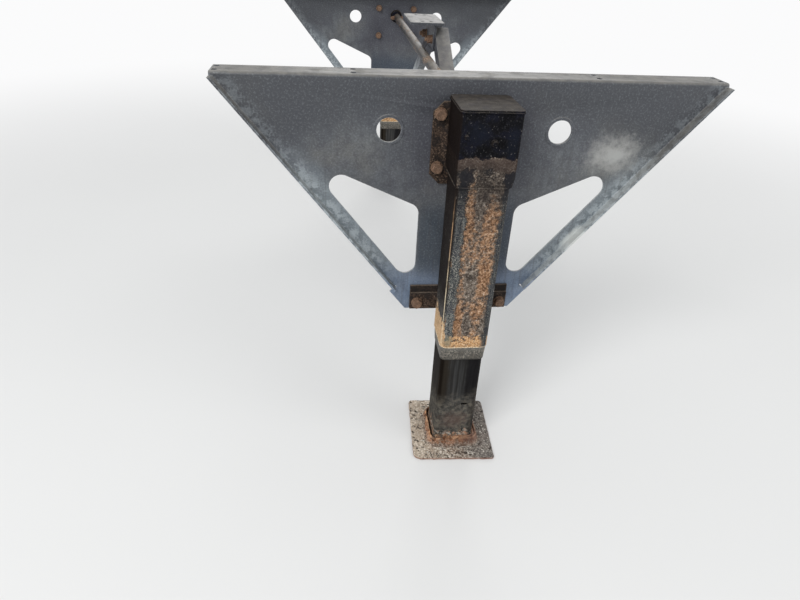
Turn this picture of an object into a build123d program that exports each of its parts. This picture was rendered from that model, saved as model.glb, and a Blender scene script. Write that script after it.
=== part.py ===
from build123d import *
from math import atan, atan2, cos, degrees, hypot, radians, sin, tan
import os

# Landing gear set of a box semi trailer: two telescoping legs on wing plates, joined by a cross shaft.
# The frame: +X forward, +Y to the trailer's left, +Z up, origin on the centre pad's top face, which is the
# underside of the trailer's crossmembers. The curb side is at -Y. A size named *_drop hangs from what is
# above it, a *_rise stands on what is below it, and a *_level is the height so found in this frame.

os.makedirs("parts", exist_ok=True)

# Trailer
mount_height = 1020.0
track = 2120.0
crossmember_pitch = 304.8
bolt_to_web = 16.0
frame_bolt_hole = 14.0
frame_bolt_rows = 38.0

# Outer tube, down from the top of the gear head
head_top_drop = 41.0
outer_length = 615.0
outer_width = 127.0
outer_wall = 4.8
outer_corner = 18.0

# Inner tube, up from the foot plate
inner_gap = 1.55
inner_wall = 6.0
inner_corner = 14.0
inner_length = 700.0
slot_length = 20.0
slot_width = 8.0
slot_rise = 151.0
slot_offset = 22.0

# Guide collar under the outer tube's mouth
collar_step = 1.0
collar_taper = 3.2
collar_drop = 44.0
slide_fit = 0.3

# Foot, loose on its pin, so that it sits a little forward and inboard of the leg, its plate askew on the ring.
# Its corners run from the front outboard one round by the rear
foot_width = 236.0
foot_length = 249.0
foot_corners = (8.0, 24.0, 12.0, 14.0)
foot_thickness = 8.0
foot_forward = 3.5
foot_inboard = 7.5
foot_skew = 3.0
ring_gap = 8.0
ring_corner = 18.0
ring_crest = 5.0
ring_base = 12.5
ring_height = 26.0
ring_edge = 1.5

# Gear head
head_wall = 5.5
head_corner = 10.0
head_tall = 168.0
head_chamfer_height = 22.0
head_chamfer = 4.5
cap_thickness = 6.0
cap_overhang = 1.0
shaft_drop = 74.0
boss_radius = 26.0
boss_reach = 14.0

# Upper bracket, down from the top of the gear head
bracket_drop = 11.0
bracket_thickness = 6.0
bracket_width = 210.0
bracket_tall = 198.0
bracket_chamfer = 24.0
bracket_bolt_side = 17.0
bracket_bolt_top = 28.0
bracket_bolt_low = 42.0
leg_bolt_hole = 17.5

# Lower ear, up from the outer tube's mouth
ear_rise = 44.0
ear_bar_height = 50.0
ear_back_height = 70.0
ear_back_inset = 5.0
ear_bolt_side = 19.0
ear_bolt_rise = 21.0

# Wing plate
sheet = 5.0
bend_inside = 3.0
wing_lip = 5.0
wing_low_half = 146.0
ear_to_corner = 12.0
corner_flat = 16.0
corner_rise = 65.0
corner_cut = 3.0
side_flange_width = 25.0
top_flange_width = 76.0
opening_side_x = 124.0
opening_band = 38.0
opening_top_rise = 302.0
opening_top_angle = 24.0
opening_corners = (28.0, 30.0, 30.0)
hole_x = 207.0
hole_drop = 121.0
hole_radius = 29.0
hole_ring_width = 8.0
hole_ring_proud = 2.0
boss_clearance = 4.0

# Cross shaft
stub_radius = 12.7
stub_reach = 90.0
stub_inside = 60.0
shaft_wall = 4.2
shaft_overlap = 50.0
turn_fit = 0.1

# Side braces and their ends
brace_plane_x = 30.0
tab_thickness = 8.0
clip_width = 90.0
clip_height = 80.0
clip_base = 6.0
clip_reach = 75.0
clip_rise = 52.0
clip_corner = 10.0
brace_leg = 50.0
brace_wall = 5.0
brace_end = 32.0
brace_low_reach = 48.0
brace_top_drop = 60.0
brace_top_y = 70.0
pad_width = 120.0
pad_length = 240.0
pad_thickness = 8.0
pad_bolt_rows = 180.0
pad_corner = 10.0
web_depth = 96.0
web_top_half = 110.0
web_low_half = 92.0

# Two speed gearbox on the road side
gearbox_drop = 14.0
gearbox_width = 124.0
gearbox_tall = 165.0
gearbox_depth = 56.0
gearbox_corner = 22.0
gearbox_rim = 10.0
cover_thickness = 7.0
cover_inset = 5.0
cover_dome = 16.0
cover_slope = 20.0
input_rise = 45.0
input_boss_radius = 24.0
input_boss_reach = 22.0
input_seat = 40.0
input_radius = 12.7

# Crank
fork_standoff = 41.4
fork_size = 46.0
fork_corner = 10.0
fork_reach = 22.0
fork_back = 20.0
eye_thickness = 16.0
eye_radius = 20.0
eye_length = 46.0
slot_side_gap = 0.5
stop_gap = 0.3
pivot_radius = 8.0
crank_rod = 19.0
crank_length = 330.0
crank_bend = 45.0
grip_length = 150.0
head_thickness = 10.0
head_across = 24.0
bolt_end = 3.0


def upright(y):
    return Plane.XZ.offset(-y)


def hex_across(flats):
    return flats / 2 / cos(radians(30))


# Levels
ground_level = -mount_height
head_top_level = -head_top_drop
shaft_level = head_top_level - shaft_drop
head_low_level = head_top_level - head_tall
mouth_level = head_top_level - outer_length
bracket_top_level = head_top_level - bracket_drop
bracket_low_level = bracket_top_level - bracket_tall
ear_low_level = mouth_level + ear_rise
ear_bolt_level = ear_low_level + ear_bolt_rise
wing_low_level = ear_low_level - wing_lip
hole_level = -hole_drop
clip_level = wing_low_level + clip_rise
gearbox_top_level = head_top_level - gearbox_drop
input_level = gearbox_top_level - gearbox_tall + input_rise

# Places across the leg, from its centre to the wing plate on its inboard side
leg_y = -track / 2
leg = Plane((0, leg_y, 0))
foot = Plane((foot_forward, leg_y + foot_inboard, 0))
tube_back = leg_y + outer_width / 2
head_width = outer_width + 2 * (slide_fit + head_wall)
head_back = leg_y + head_width / 2
wing_face = head_back + bracket_thickness
wing_back = wing_face + sheet
bend_outside = bend_inside + sheet

# Widths of the telescoping tubes
bore_width = outer_width - 2 * outer_wall
bore_corner = outer_corner - outer_wall
inner_width = bore_width - 2 * inner_gap

# Bolts that hold the leg to its wing plate, as places on an upright plane
bracket_bolt_x = bracket_width / 2 - bracket_bolt_side
bracket_bolts = [
    (x, z)
    for x in (-bracket_bolt_x, bracket_bolt_x)
    for z in (bracket_low_level + bracket_bolt_low, bracket_top_level - bracket_bolt_top)
]
ear_half = wing_low_half - ear_to_corner
ear_bolt_x = ear_half - ear_bolt_side
ear_bolts = [(-ear_bolt_x, ear_bolt_level), (ear_bolt_x, ear_bolt_level)]

# The pieces of the curb side leg, and the road side's by reflection in the trailer's centre plane

with BuildPart() as outer_tube:
    with BuildSketch(leg.offset(mouth_level)):
        RectangleRounded(outer_width, outer_width, outer_corner)
        RectangleRounded(bore_width, bore_width, bore_corner, mode=Mode.SUBTRACT)
    extrude(amount=outer_length)
    with BuildSketch(upright(tube_back)):
        with Locations((0, shaft_level)):
            Circle(stub_radius + turn_fit)
    extrude(amount=outer_wall, mode=Mode.SUBTRACT)

# Guide collar, welded under the outer tube's mouth and drawn in towards the inner tube
with BuildPart() as collar:
    with BuildSketch(leg.offset(mouth_level)):
        skirt_width = outer_width - 2 * collar_step
        RectangleRounded(skirt_width, skirt_width, outer_corner)
    extrude(amount=-collar_drop, taper=degrees(atan(collar_taper / collar_drop)))
    with BuildSketch(leg.offset(mouth_level)):
        guide_width = inner_width + 2 * slide_fit
        RectangleRounded(guide_width, guide_width, inner_corner)
    extrude(amount=-collar_drop, mode=Mode.SUBTRACT)

with BuildPart() as inner_tube:
    with BuildSketch(leg.offset(ground_level + foot_thickness)):
        RectangleRounded(inner_width, inner_width, inner_corner)
        inner_bore = inner_width - 2 * inner_wall
        RectangleRounded(inner_bore, inner_bore, inner_corner - inner_wall, mode=Mode.SUBTRACT)
    extrude(amount=inner_length)
    with BuildSketch(upright(leg_y - inner_width / 2)):
        with Locations((slot_offset, ground_level + foot_thickness + slot_rise)):
            SlotOverall(slot_length, slot_width)
    extrude(amount=-inner_wall, mode=Mode.SUBTRACT)

with BuildPart() as foot_plate:
    with BuildSketch(foot.offset(ground_level).rotated((0, 0, -foot_skew))) as foot_outline:
        Rectangle(foot_width, foot_length)
        front, side = foot_width / 2, foot_length / 2
        corners = [(front, -side), (-front, -side), (-front, side), (front, side)]
        for corner, radius in zip(corners, foot_corners):
            fillet(foot_outline.vertices().sort_by_distance(corner)[0], radius)
    extrude(amount=foot_thickness)

# Raised ring of the sand shoe round the inner tube, sloped down to the plate
with BuildPart() as foot_ring:
    ring_hole = inner_width + 2 * ring_gap
    with BuildSketch(foot.offset(ground_level + foot_thickness)):
        ring_width = ring_hole + 2 * ring_base
        RectangleRounded(ring_width, ring_width, ring_corner + ring_base)
    extrude(amount=ring_height, taper=degrees(atan((ring_base - ring_crest) / ring_height)))
    with BuildSketch(foot.offset(ground_level + foot_thickness)):
        RectangleRounded(ring_hole, ring_hole, ring_corner)
    extrude(amount=ring_height, mode=Mode.SUBTRACT)
    chamfer(foot_ring.edges().group_by(Axis.Z)[-1], ring_edge)

# Gear head: a heavier sleeve round the top of the outer tube, with the cross shaft's boss on its inboard face
with BuildPart() as gear_head:
    with BuildSketch(leg.offset(head_top_level)):
        RectangleRounded(head_width, head_width, head_corner)
    extrude(amount=head_chamfer_height - head_tall)
    with BuildSketch(leg.offset(head_low_level + head_chamfer_height)):
        RectangleRounded(head_width, head_width, head_corner)
    extrude(amount=-head_chamfer_height, taper=degrees(atan(head_chamfer / head_chamfer_height)))
    with BuildSketch(leg.offset(head_low_level)):
        sleeve_width = outer_width + 2 * slide_fit
        RectangleRounded(sleeve_width, sleeve_width, outer_corner + slide_fit)
    extrude(amount=head_tall, mode=Mode.SUBTRACT)
    boss_length = head_wall + bracket_thickness + sheet + boss_reach
    with BuildSketch(upright(head_back - head_wall)):
        with Locations((0, shaft_level)):
            Circle(boss_radius)
    extrude(amount=-boss_length)
    with BuildSketch(upright(head_back - head_wall)):
        with Locations((0, shaft_level)):
            Circle(stub_radius + turn_fit)
    extrude(amount=-boss_length, mode=Mode.SUBTRACT)

with BuildPart() as head_cap:
    with BuildSketch(leg.offset(head_top_level)):
        cap_width = head_width + 2 * cap_overhang
        RectangleRounded(cap_width, cap_width, head_corner + cap_overhang)
    extrude(amount=cap_thickness)
    chamfer(head_cap.faces().sort_by(Axis.Z)[-1].edges(), cap_overhang)

# Upper mounting bracket, welded across the back of the head and bolted through the wing plate
with BuildPart() as upper_bracket:
    with BuildSketch(upright(head_back)):
        with Locations((0, bracket_top_level - bracket_tall / 2)):
            Rectangle(bracket_width, bracket_tall)
        chamfer(vertices().group_by(Axis.Z)[0], bracket_chamfer)
        with Locations((0, shaft_level)):
            Circle(boss_radius + slide_fit, mode=Mode.SUBTRACT)
        with Locations(*bracket_bolts):
            Circle(leg_bolt_hole / 2, mode=Mode.SUBTRACT)
    extrude(amount=-bracket_thickness)

# Lower ear: a bar across the back of the tube, stepped back above its bolts
with BuildPart() as lower_ear:
    ear_thickness = wing_face - tube_back
    with BuildSketch(upright(wing_face)):
        with Locations((0, ear_low_level + ear_bar_height / 2)):
            Rectangle(2 * ear_half, ear_bar_height)
    extrude(amount=ear_thickness)
    with BuildSketch(upright(wing_face)):
        with Locations((0, ear_low_level + ear_back_height / 2)):
            Rectangle(2 * ear_half, ear_back_height)
    extrude(amount=ear_thickness - ear_back_inset)
    with BuildSketch(upright(wing_face)):
        with Locations(*ear_bolts):
            Circle(leg_bolt_hole / 2)
    extrude(amount=ear_thickness, mode=Mode.SUBTRACT)

# Wing plate: one galvanised sheet, folded out along its two diagonals and in along its top
wing_top_half = 2 * crossmember_pitch
edge_angle = atan2(-wing_low_level, wing_top_half - wing_low_half)
fold_low_half = wing_low_half - corner_flat / sin(edge_angle)
fold_angle = atan2(-wing_low_level, wing_top_half - fold_low_half)
corner_level = wing_low_level + corner_rise
plate_top_level = -bend_outside


def fold_x(z, inset=0.0):
    return fold_low_half + (z - wing_low_level) / tan(fold_angle) - inset / sin(fold_angle)


def off_fold(z, inset):
    return fold_x(z) - inset * sin(fold_angle), z + inset * cos(fold_angle)


with BuildPart() as wing_plate:
    with BuildSketch(upright(wing_back)):
        with BuildLine():
            Polyline(
                (0, wing_low_level),
                (wing_low_half, wing_low_level),
                off_fold(corner_level, -corner_flat),
                off_fold(corner_level, bend_outside),
                (fold_x(plate_top_level, bend_outside), plate_top_level),
                (0, plate_top_level),
                close=True,
            )
        make_face()
        # The opening: an upright side by the leg, a band's width off the fold, and a sloping top
        slope = tan(fold_angle)
        top_slope = tan(radians(opening_top_angle))
        opening_top_level = wing_low_level + opening_top_rise
        low_z = wing_low_level + (opening_side_x - fold_x(wing_low_level, opening_band)) * slope
        far_x = opening_side_x + (opening_top_level - low_z) / (slope - top_slope)
        far_z = low_z + (far_x - opening_side_x) * slope
        low_radius, far_radius, top_radius = opening_corners
        with BuildSketch(mode=Mode.PRIVATE) as opening:
            with BuildLine():
                Polyline((opening_side_x, low_z), (far_x, far_z), (opening_side_x, opening_top_level), close=True)
            make_face()
            fillet(opening.vertices().sort_by(Axis.Y)[0], low_radius)
            fillet(opening.vertices().sort_by(Axis.X)[-1], far_radius)
            fillet(opening.vertices().sort_by_distance((opening_side_x, opening_top_level))[0], top_radius)
        add(opening.sketch, mode=Mode.SUBTRACT)
    extrude(amount=sheet)
    # Side flange with its bend, run up the fold
    flange_level = corner_level + corner_cut
    fold_start = (fold_x(flange_level), wing_back, flange_level)
    across_fold = (sin(fold_angle), 0, -cos(fold_angle))
    along_fold = (cos(fold_angle), 0, sin(fold_angle))
    with BuildSketch(Plane(fold_start, x_dir=across_fold, z_dir=along_fold)):
        with BuildLine():
            Line((-bend_outside, 0), (-bend_outside, -sheet))
            RadiusArc((-bend_outside, -sheet), (-sheet, -bend_outside), bend_inside)
            Line((-sheet, -bend_outside), (-sheet, -sheet - side_flange_width))
            Line((-sheet, -sheet - side_flange_width), (0, -sheet - side_flange_width))
            Line((0, -sheet - side_flange_width), (0, -bend_outside))
            RadiusArc((0, -bend_outside), (-bend_outside, 0), -bend_outside)
        make_face()
    extrude(amount=-flange_level / sin(fold_angle))
    split(bisect_by=Plane.XY.offset(plate_top_level), keep=Keep.BOTTOM)
    mirror(about=Plane.YZ)
    # Top flange with its bend
    top_half = fold_x(plate_top_level)
    with BuildSketch(Plane.YZ.offset(-top_half)):
        with BuildLine():
            Line((wing_face, -bend_outside), (wing_back, -bend_outside))
            RadiusArc((wing_back, -bend_outside), (wing_face + bend_outside, -sheet), bend_inside)
            Line((wing_face + bend_outside, -sheet), (wing_face + top_flange_width, -sheet))
            Line((wing_face + top_flange_width, -sheet), (wing_face + top_flange_width, 0))
            Line((wing_face + top_flange_width, 0), (wing_face + bend_outside, 0))
            RadiusArc((wing_face + bend_outside, 0), (wing_face, -bend_outside), -bend_outside)
        make_face()
    extrude(amount=2 * top_half)
    # Dimpled rings and their holes, the shaft's hole and the bolt holes
    round_holes = [(-hole_x, hole_level), (hole_x, hole_level)]
    with BuildSketch(upright(wing_face)):
        with Locations(*round_holes):
            Circle(hole_radius + hole_ring_width)
    extrude(amount=hole_ring_proud, taper=45)
    with BuildSketch(upright(wing_back)):
        with Locations(*round_holes):
            Circle(hole_radius)
        with Locations((0, shaft_level)):
            Circle(boss_radius + boss_clearance)
        with Locations(*ear_bolts, *bracket_bolts):
            Circle(leg_bolt_hole / 2)
    extrude(amount=sheet + hole_ring_proud, mode=Mode.SUBTRACT)
    row_y = wing_face + (top_flange_width + 2 * sheet) / 2
    with BuildSketch(Plane.XY.offset(-sheet)):
        for web_x in (crossmember_pitch, 2 * crossmember_pitch):
            bolt_x = web_x - bolt_to_web
            with Locations((0, row_y)):
                with GridLocations(2 * bolt_x, frame_bolt_rows, 2, 2):
                    Circle(frame_bolt_hole / 2)
    extrude(amount=sheet, mode=Mode.SUBTRACT)

# Clip for the side brace, on the wing plate's inboard face
tab_face_x = brace_plane_x + tab_thickness / 2
brace_low_y = wing_back + brace_low_reach
with BuildPart() as brace_clip:
    with BuildSketch(upright(wing_back)):
        with Locations((0, clip_level)):
            Rectangle(clip_width, clip_height)
    extrude(amount=-clip_base)
    with BuildSketch(Plane.YZ.offset(tab_face_x - tab_thickness)):
        with Locations((wing_back + clip_reach / 2, clip_level)):
            Rectangle(clip_reach, clip_height)
        fillet(vertices().group_by(Axis.Y)[-1], clip_corner)
        with Locations((brace_low_y, clip_level)):
            Circle(leg_bolt_hole / 2, mode=Mode.SUBTRACT)
    extrude(amount=tab_thickness)

# Side brace: rolled angle from the clip up to the centre pad
brace_rise = -brace_top_drop - clip_level
brace_run = -brace_top_y - brace_low_y
brace_length = hypot(brace_rise, brace_run)
brace_slope = atan2(brace_rise, brace_run)
with BuildPart() as side_brace:
    along_brace = (0, cos(brace_slope), sin(brace_slope))
    brace_start = (
        tab_face_x,
        brace_low_y - brace_end * cos(brace_slope),
        clip_level - brace_end * sin(brace_slope),
    )
    with BuildSketch(Plane(brace_start, x_dir=(1, 0, 0), z_dir=along_brace)):
        with Locations((brace_wall / 2, 0)):
            Rectangle(brace_wall, brace_leg)
        with Locations((brace_leg / 2, (brace_wall - brace_leg) / 2)):
            Rectangle(brace_leg, brace_wall)
        root = vertices().sort_by_distance((brace_wall, brace_wall - brace_leg / 2))[0]
        fillet(root, brace_wall)
    extrude(amount=brace_length + 2 * brace_end)
    with BuildSketch(Plane.YZ.offset(tab_face_x)):
        with Locations((brace_low_y, clip_level), (-brace_top_y, -brace_top_drop)):
            Circle(leg_bolt_hole / 2)
    extrude(amount=brace_leg, mode=Mode.SUBTRACT)

# Stub of the leg's own gear shaft, standing out of the boss
stub_end = wing_back + stub_reach
with BuildPart() as drive_stub:
    with BuildSketch(upright(stub_end)):
        with Locations((0, shaft_level)):
            Circle(stub_radius)
    extrude(amount=stub_end - head_back + stub_inside)

leg_pieces = {
    "outer_tube": outer_tube,
    "guide_collar": collar,
    "inner_tube": inner_tube,
    "foot_plate": foot_plate,
    "foot_ring": foot_ring,
    "gear_head": gear_head,
    "head_cap": head_cap,
    "upper_bracket": upper_bracket,
    "lower_ear": lower_ear,
    "wing_plate": wing_plate,
    "brace_clip": brace_clip,
    "side_brace": side_brace,
    "drive_stub": drive_stub,
}
for name, piece in leg_pieces.items():
    piece.part.label = f"curb_{name}"
    export_step(piece.part, f"parts/curb_{name}.step")
    with BuildPart() as opposite:
        mirror(piece.part, about=Plane.XZ)
    opposite.part.label = f"road_{name}"
    export_step(opposite.part, f"parts/road_{name}.step")

# Centre pad, which carries both side braces under the middle crossmember
with BuildPart() as centre_pad:
    with BuildSketch(Plane.XY.offset(-pad_thickness)):
        RectangleRounded(pad_width, pad_length, pad_corner)
        with GridLocations(2 * bolt_to_web, pad_bolt_rows, 2, 2):
            Circle(frame_bolt_hole / 2, mode=Mode.SUBTRACT)
    extrude(amount=pad_thickness)
    with BuildSketch(Plane.YZ.offset(tab_face_x - tab_thickness)):
        with BuildLine():
            Polyline(
                (-web_top_half, -pad_thickness),
                (-web_low_half, -web_depth),
                (web_low_half, -web_depth),
                (web_top_half, -pad_thickness),
                close=True,
            )
        make_face()
        with Locations((-brace_top_y, -brace_top_drop), (brace_top_y, -brace_top_drop)):
            Circle(leg_bolt_hole / 2, mode=Mode.SUBTRACT)
    extrude(amount=tab_thickness)

# Cross shaft, a tube that slips over both stubs
shaft_half = -stub_end + shaft_overlap
with BuildPart() as cross_shaft:
    with BuildSketch(upright(-shaft_half)):
        with Locations((0, shaft_level)):
            Circle(stub_radius + turn_fit + shaft_wall)
            Circle(stub_radius + turn_fit, mode=Mode.SUBTRACT)
    extrude(amount=-2 * shaft_half)

# Gearbox on the road side's head, with its cover and the crank's input shaft
box_face = track / 2 + head_width / 2
cover_face = box_face + gearbox_depth
gearbox_level = gearbox_top_level - gearbox_tall / 2
rim_width = gearbox_width + 2 * gearbox_rim
rim_tall = gearbox_tall + 2 * gearbox_rim
rim_corner = gearbox_corner + gearbox_rim
with BuildPart() as gearbox:
    with BuildSketch(upright(box_face)):
        with Locations((0, gearbox_level)):
            RectangleRounded(gearbox_width, gearbox_tall, gearbox_corner)
    extrude(amount=-gearbox_depth)
    with BuildSketch(upright(cover_face)):
        with Locations((0, gearbox_level)):
            RectangleRounded(rim_width, rim_tall, rim_corner)
    extrude(amount=cover_thickness)
    with BuildSketch(upright(cover_face - input_seat)):
        with Locations((0, input_level)):
            Circle(input_radius + turn_fit)
    extrude(amount=-input_seat, mode=Mode.SUBTRACT)

boss_end = cover_face + cover_thickness + cover_dome + input_boss_reach
with BuildPart() as gearbox_cover:
    with BuildSketch(upright(cover_face)):
        with Locations((0, gearbox_level)):
            RectangleRounded(rim_width, rim_tall, rim_corner)
    extrude(amount=-cover_thickness)
    with BuildSketch(upright(cover_face + cover_thickness)):
        with Locations((0, gearbox_level)):
            dome_width = gearbox_width - 2 * cover_inset
            dome_tall = gearbox_tall - 2 * cover_inset
            RectangleRounded(dome_width, dome_tall, gearbox_corner)
    extrude(amount=-cover_dome, taper=cover_slope)
    with BuildSketch(upright(cover_face + cover_thickness)):
        with Locations((0, input_level)):
            Circle(input_boss_radius)
    extrude(amount=-(boss_end - cover_face - cover_thickness))
    with BuildSketch(upright(cover_face)):
        with Locations((0, input_level)):
            Circle(input_radius + turn_fit)
    extrude(amount=-(boss_end - cover_face), mode=Mode.SUBTRACT)

# Input shaft with the fork that holds the crank's eye
fork_start = boss_end + fork_standoff
slot_bottom = fork_start + fork_back
crank_y = slot_bottom + eye_radius + stop_gap
fork_end = crank_y + fork_reach
with BuildPart() as input_shaft:
    with BuildSketch(upright(cover_face - input_seat)):
        with Locations((0, input_level)):
            Circle(input_radius)
    extrude(amount=-(fork_start - cover_face + input_seat))
    with BuildSketch(upright(fork_start)):
        with Locations((0, input_level)):
            RectangleRounded(fork_size, fork_size, fork_corner)
    extrude(amount=-(fork_end - fork_start))
    with BuildSketch(upright(slot_bottom)):
        with Locations((0, input_level)):
            Rectangle(eye_thickness + 2 * slot_side_gap, fork_size)
    extrude(amount=-(fork_end - slot_bottom), mode=Mode.SUBTRACT)
    with BuildSketch(Plane.YZ.offset(-fork_size / 2)):
        with Locations((crank_y, input_level)):
            Circle(pivot_radius + turn_fit)
    extrude(amount=fork_size, mode=Mode.SUBTRACT)

# Pivot bolt through the fork, with its head and nut
with BuildPart() as pivot_bolt:
    with BuildSketch(Plane.YZ.offset(-fork_size / 2 - head_thickness)):
        with Locations((crank_y, input_level)):
            Circle(pivot_radius)
    extrude(amount=fork_size + 2 * head_thickness + bolt_end)
    for head_x in (-fork_size / 2 - head_thickness, fork_size / 2):
        with BuildSketch(Plane.YZ.offset(head_x)):
            with Locations((crank_y, input_level)):
                RegularPolygon(hex_across(head_across), 6)
        extrude(amount=head_thickness)

# Crank: a forged eye, a round arm hanging down from it and a grip bent outboard
with BuildPart() as crank:
    shank_level = input_level - eye_length
    rod_level = shank_level - eye_radius
    grip_level = input_level - crank_length
    with BuildSketch(Plane.YZ.offset(-eye_thickness / 2)):
        with Locations((crank_y, input_level)):
            Circle(eye_radius)
        with Locations((crank_y, input_level - eye_length / 2)):
            Rectangle(2 * eye_radius, eye_length)
        with Locations((crank_y, input_level)):
            Circle(pivot_radius + turn_fit, mode=Mode.SUBTRACT)
    extrude(amount=eye_thickness)
    with BuildSketch(Plane((0, crank_y, shank_level), x_dir=(1, 0, 0), z_dir=(0, 0, -1))):
        Rectangle(eye_thickness, 2 * eye_radius)
    with BuildSketch(Plane((0, crank_y, rod_level), x_dir=(1, 0, 0), z_dir=(0, 0, -1))):
        Circle(crank_rod / 2)
    loft()
    with BuildLine(Plane.YZ) as crank_path:
        FilletPolyline(
            (crank_y, rod_level),
            (crank_y, grip_level),
            (crank_y + grip_length, grip_level),
            radius=crank_bend,
        )
    with BuildSketch(Plane((0, crank_y, rod_level), x_dir=(1, 0, 0), z_dir=(0, 0, -1))):
        Circle(crank_rod / 2)
    sweep(path=crank_path.line)

single_pieces = {
    "centre_pad": centre_pad,
    "cross_shaft": cross_shaft,
    "gearbox": gearbox,
    "gearbox_cover": gearbox_cover,
    "input_shaft": input_shaft,
    "crank_pivot_bolt": pivot_bolt,
    "crank": crank,
}
for name, piece in single_pieces.items():
    piece.part.label = name
    export_step(piece.part, f"parts/{name}.step")
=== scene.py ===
import math

import bmesh
import bpy
from mathutils import Matrix, Vector, noise


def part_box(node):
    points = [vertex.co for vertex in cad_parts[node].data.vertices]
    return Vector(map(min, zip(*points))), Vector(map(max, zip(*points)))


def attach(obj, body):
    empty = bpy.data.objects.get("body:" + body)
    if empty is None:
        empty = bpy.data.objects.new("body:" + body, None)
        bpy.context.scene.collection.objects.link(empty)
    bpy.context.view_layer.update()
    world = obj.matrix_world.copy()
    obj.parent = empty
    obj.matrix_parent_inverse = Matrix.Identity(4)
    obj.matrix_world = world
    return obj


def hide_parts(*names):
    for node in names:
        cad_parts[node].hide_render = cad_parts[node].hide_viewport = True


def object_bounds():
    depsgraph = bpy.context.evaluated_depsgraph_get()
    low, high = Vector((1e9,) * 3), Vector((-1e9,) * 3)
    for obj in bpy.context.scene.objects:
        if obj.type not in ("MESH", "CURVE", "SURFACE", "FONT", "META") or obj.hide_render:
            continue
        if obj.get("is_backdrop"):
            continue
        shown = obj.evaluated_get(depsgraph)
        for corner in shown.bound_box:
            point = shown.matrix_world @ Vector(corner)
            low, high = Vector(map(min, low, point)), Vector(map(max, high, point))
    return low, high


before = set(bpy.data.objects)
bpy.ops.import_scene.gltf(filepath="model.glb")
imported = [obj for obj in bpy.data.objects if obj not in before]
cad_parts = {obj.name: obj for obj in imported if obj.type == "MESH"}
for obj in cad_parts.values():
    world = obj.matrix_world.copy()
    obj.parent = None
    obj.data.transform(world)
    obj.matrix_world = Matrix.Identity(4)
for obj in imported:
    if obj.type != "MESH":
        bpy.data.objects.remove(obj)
cad_low, cad_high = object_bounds()


# Wing plates: 5 mm steel sheet with openings and two dimpled holes, folded along both diagonals and along
# the top, then hot dip galvanised. Each is bolted to its leg's bracket and ear, and its top flange to the
# crossmembers.
# Which way along y each side of the trailer lies
SIDES = {"curb": -1, "road": 1}
GROUND = cad_low.z
WING_LOW_HALF = 0.128
JOIN_WITHIN = 0.00002
FLAT_WITHIN = math.radians(0.6)
ROUND_FROM = math.radians(28)


def paint(red, green, blue):
    """A colour as the eye sees it, in steps of 0 to 255, as the linear colour that a socket takes."""
    return (*(c / 3294.6 if c <= 10 else ((c / 255 + 0.055) / 1.055) ** 2.4 for c in (red, green, blue)), 1.0)


def put(socket, value):
    """Gives a socket its value, or links a reading, or a list of readings, to it."""
    if isinstance(value, Reading):
        value.tree.links.new(value.socket, socket)
    elif isinstance(value, list):
        for each in value:
            put(socket, each)
    else:
        socket.default_value = value


def add(tree, kind, inputs=None, out=0, **settings):
    """A new node with its settings and inputs, by the reading that it puts out."""
    node = tree.nodes.new(kind)
    for name, value in settings.items():
        setattr(node, name, value)
    for name, value in (inputs or {}).items():
        put(node.inputs[name], value)
    return Reading(node.outputs[out])


def mix(mask, under, over):
    """One colour laid over another where the mask is 1."""
    return add(mask.tree, "ShaderNodeMix", {0: mask, 6: under, 7: over}, 2, data_type="RGBA")


class Reading:
    """What a node puts out. Sums on a reading become nodes in its tree."""

    def __init__(self, socket):
        self.socket = socket
        self.tree = socket.id_data

    def maths(self, operation, other=0.0):
        return add(self.tree, "ShaderNodeMath", {0: self, 1: other}, operation=operation)

    def vector(self, operation, other=(0.0, 0.0, 0.0), out="Vector"):
        return add(self.tree, "ShaderNodeVectorMath", {0: self, 1: other}, out, operation=operation)

    def __add__(self, other):
        return self.maths("ADD", other)

    def __sub__(self, other):
        return self.maths("SUBTRACT", other)

    def __mul__(self, other):
        return self.maths("MULTIPLY", other)

    def __truediv__(self, other):
        return self.maths("DIVIDE", other)

    def __rsub__(self, number):
        return add(self.tree, "ShaderNodeMath", {0: number, 1: self}, operation="SUBTRACT")

    def __rtruediv__(self, number):
        return add(self.tree, "ShaderNodeMath", {0: number, 1: self}, operation="DIVIDE")

    def __abs__(self):
        return self.maths("ABSOLUTE")

    def __or__(self, other):
        """The larger of the two, which joins masks."""
        return self.maths("MAXIMUM", other)

    def between(self, low, high, start=0.0, end=1.0):
        """Goes smoothly from start to end as the reading goes from low to high."""
        sizes = {"Value": self, "From Min": low, "From Max": high, "To Min": start, "To Max": end}
        return add(self.tree, "ShaderNodeMapRange", sizes, interpolation_type="SMOOTHSTEP")

    def shades(self, *stops):
        """A colour for each height of the reading: a stop is a height and a paint's red, green and blue."""
        ramp = add(self.tree, "ShaderNodeValToRGB", {"Fac": self})
        elements = ramp.socket.node.color_ramp.elements
        while len(elements) < len(stops):
            elements.new(1.0)
        for element, (height, *colour) in zip(elements, stops):
            element.position = height
            element.color = paint(*colour)
        return ramp

    def under(self, mask, *over):
        """This colour with another, a paint's three numbers or a reading, laid over it."""
        return mix(mask, self, over[0] if len(over) == 1 else paint(*over))


def lumps(place, size, detail=4.0, rough=0.55, swirl=0.0):
    """Noise from 0 to 1 with lumps about size metres across."""
    sizes = {"Vector": place, "Scale": 1.0 / size, "Detail": detail, "Roughness": rough, "Distortion": swirl}
    return add(place.tree, "ShaderNodeTexNoise", sizes)


def facing(tree, direction):
    """How far the surface faces a direction, from -1 to 1."""
    return add(tree, "ShaderNodeNewGeometry", out="Normal").vector("DOT_PRODUCT", direction, "Value")


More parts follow.
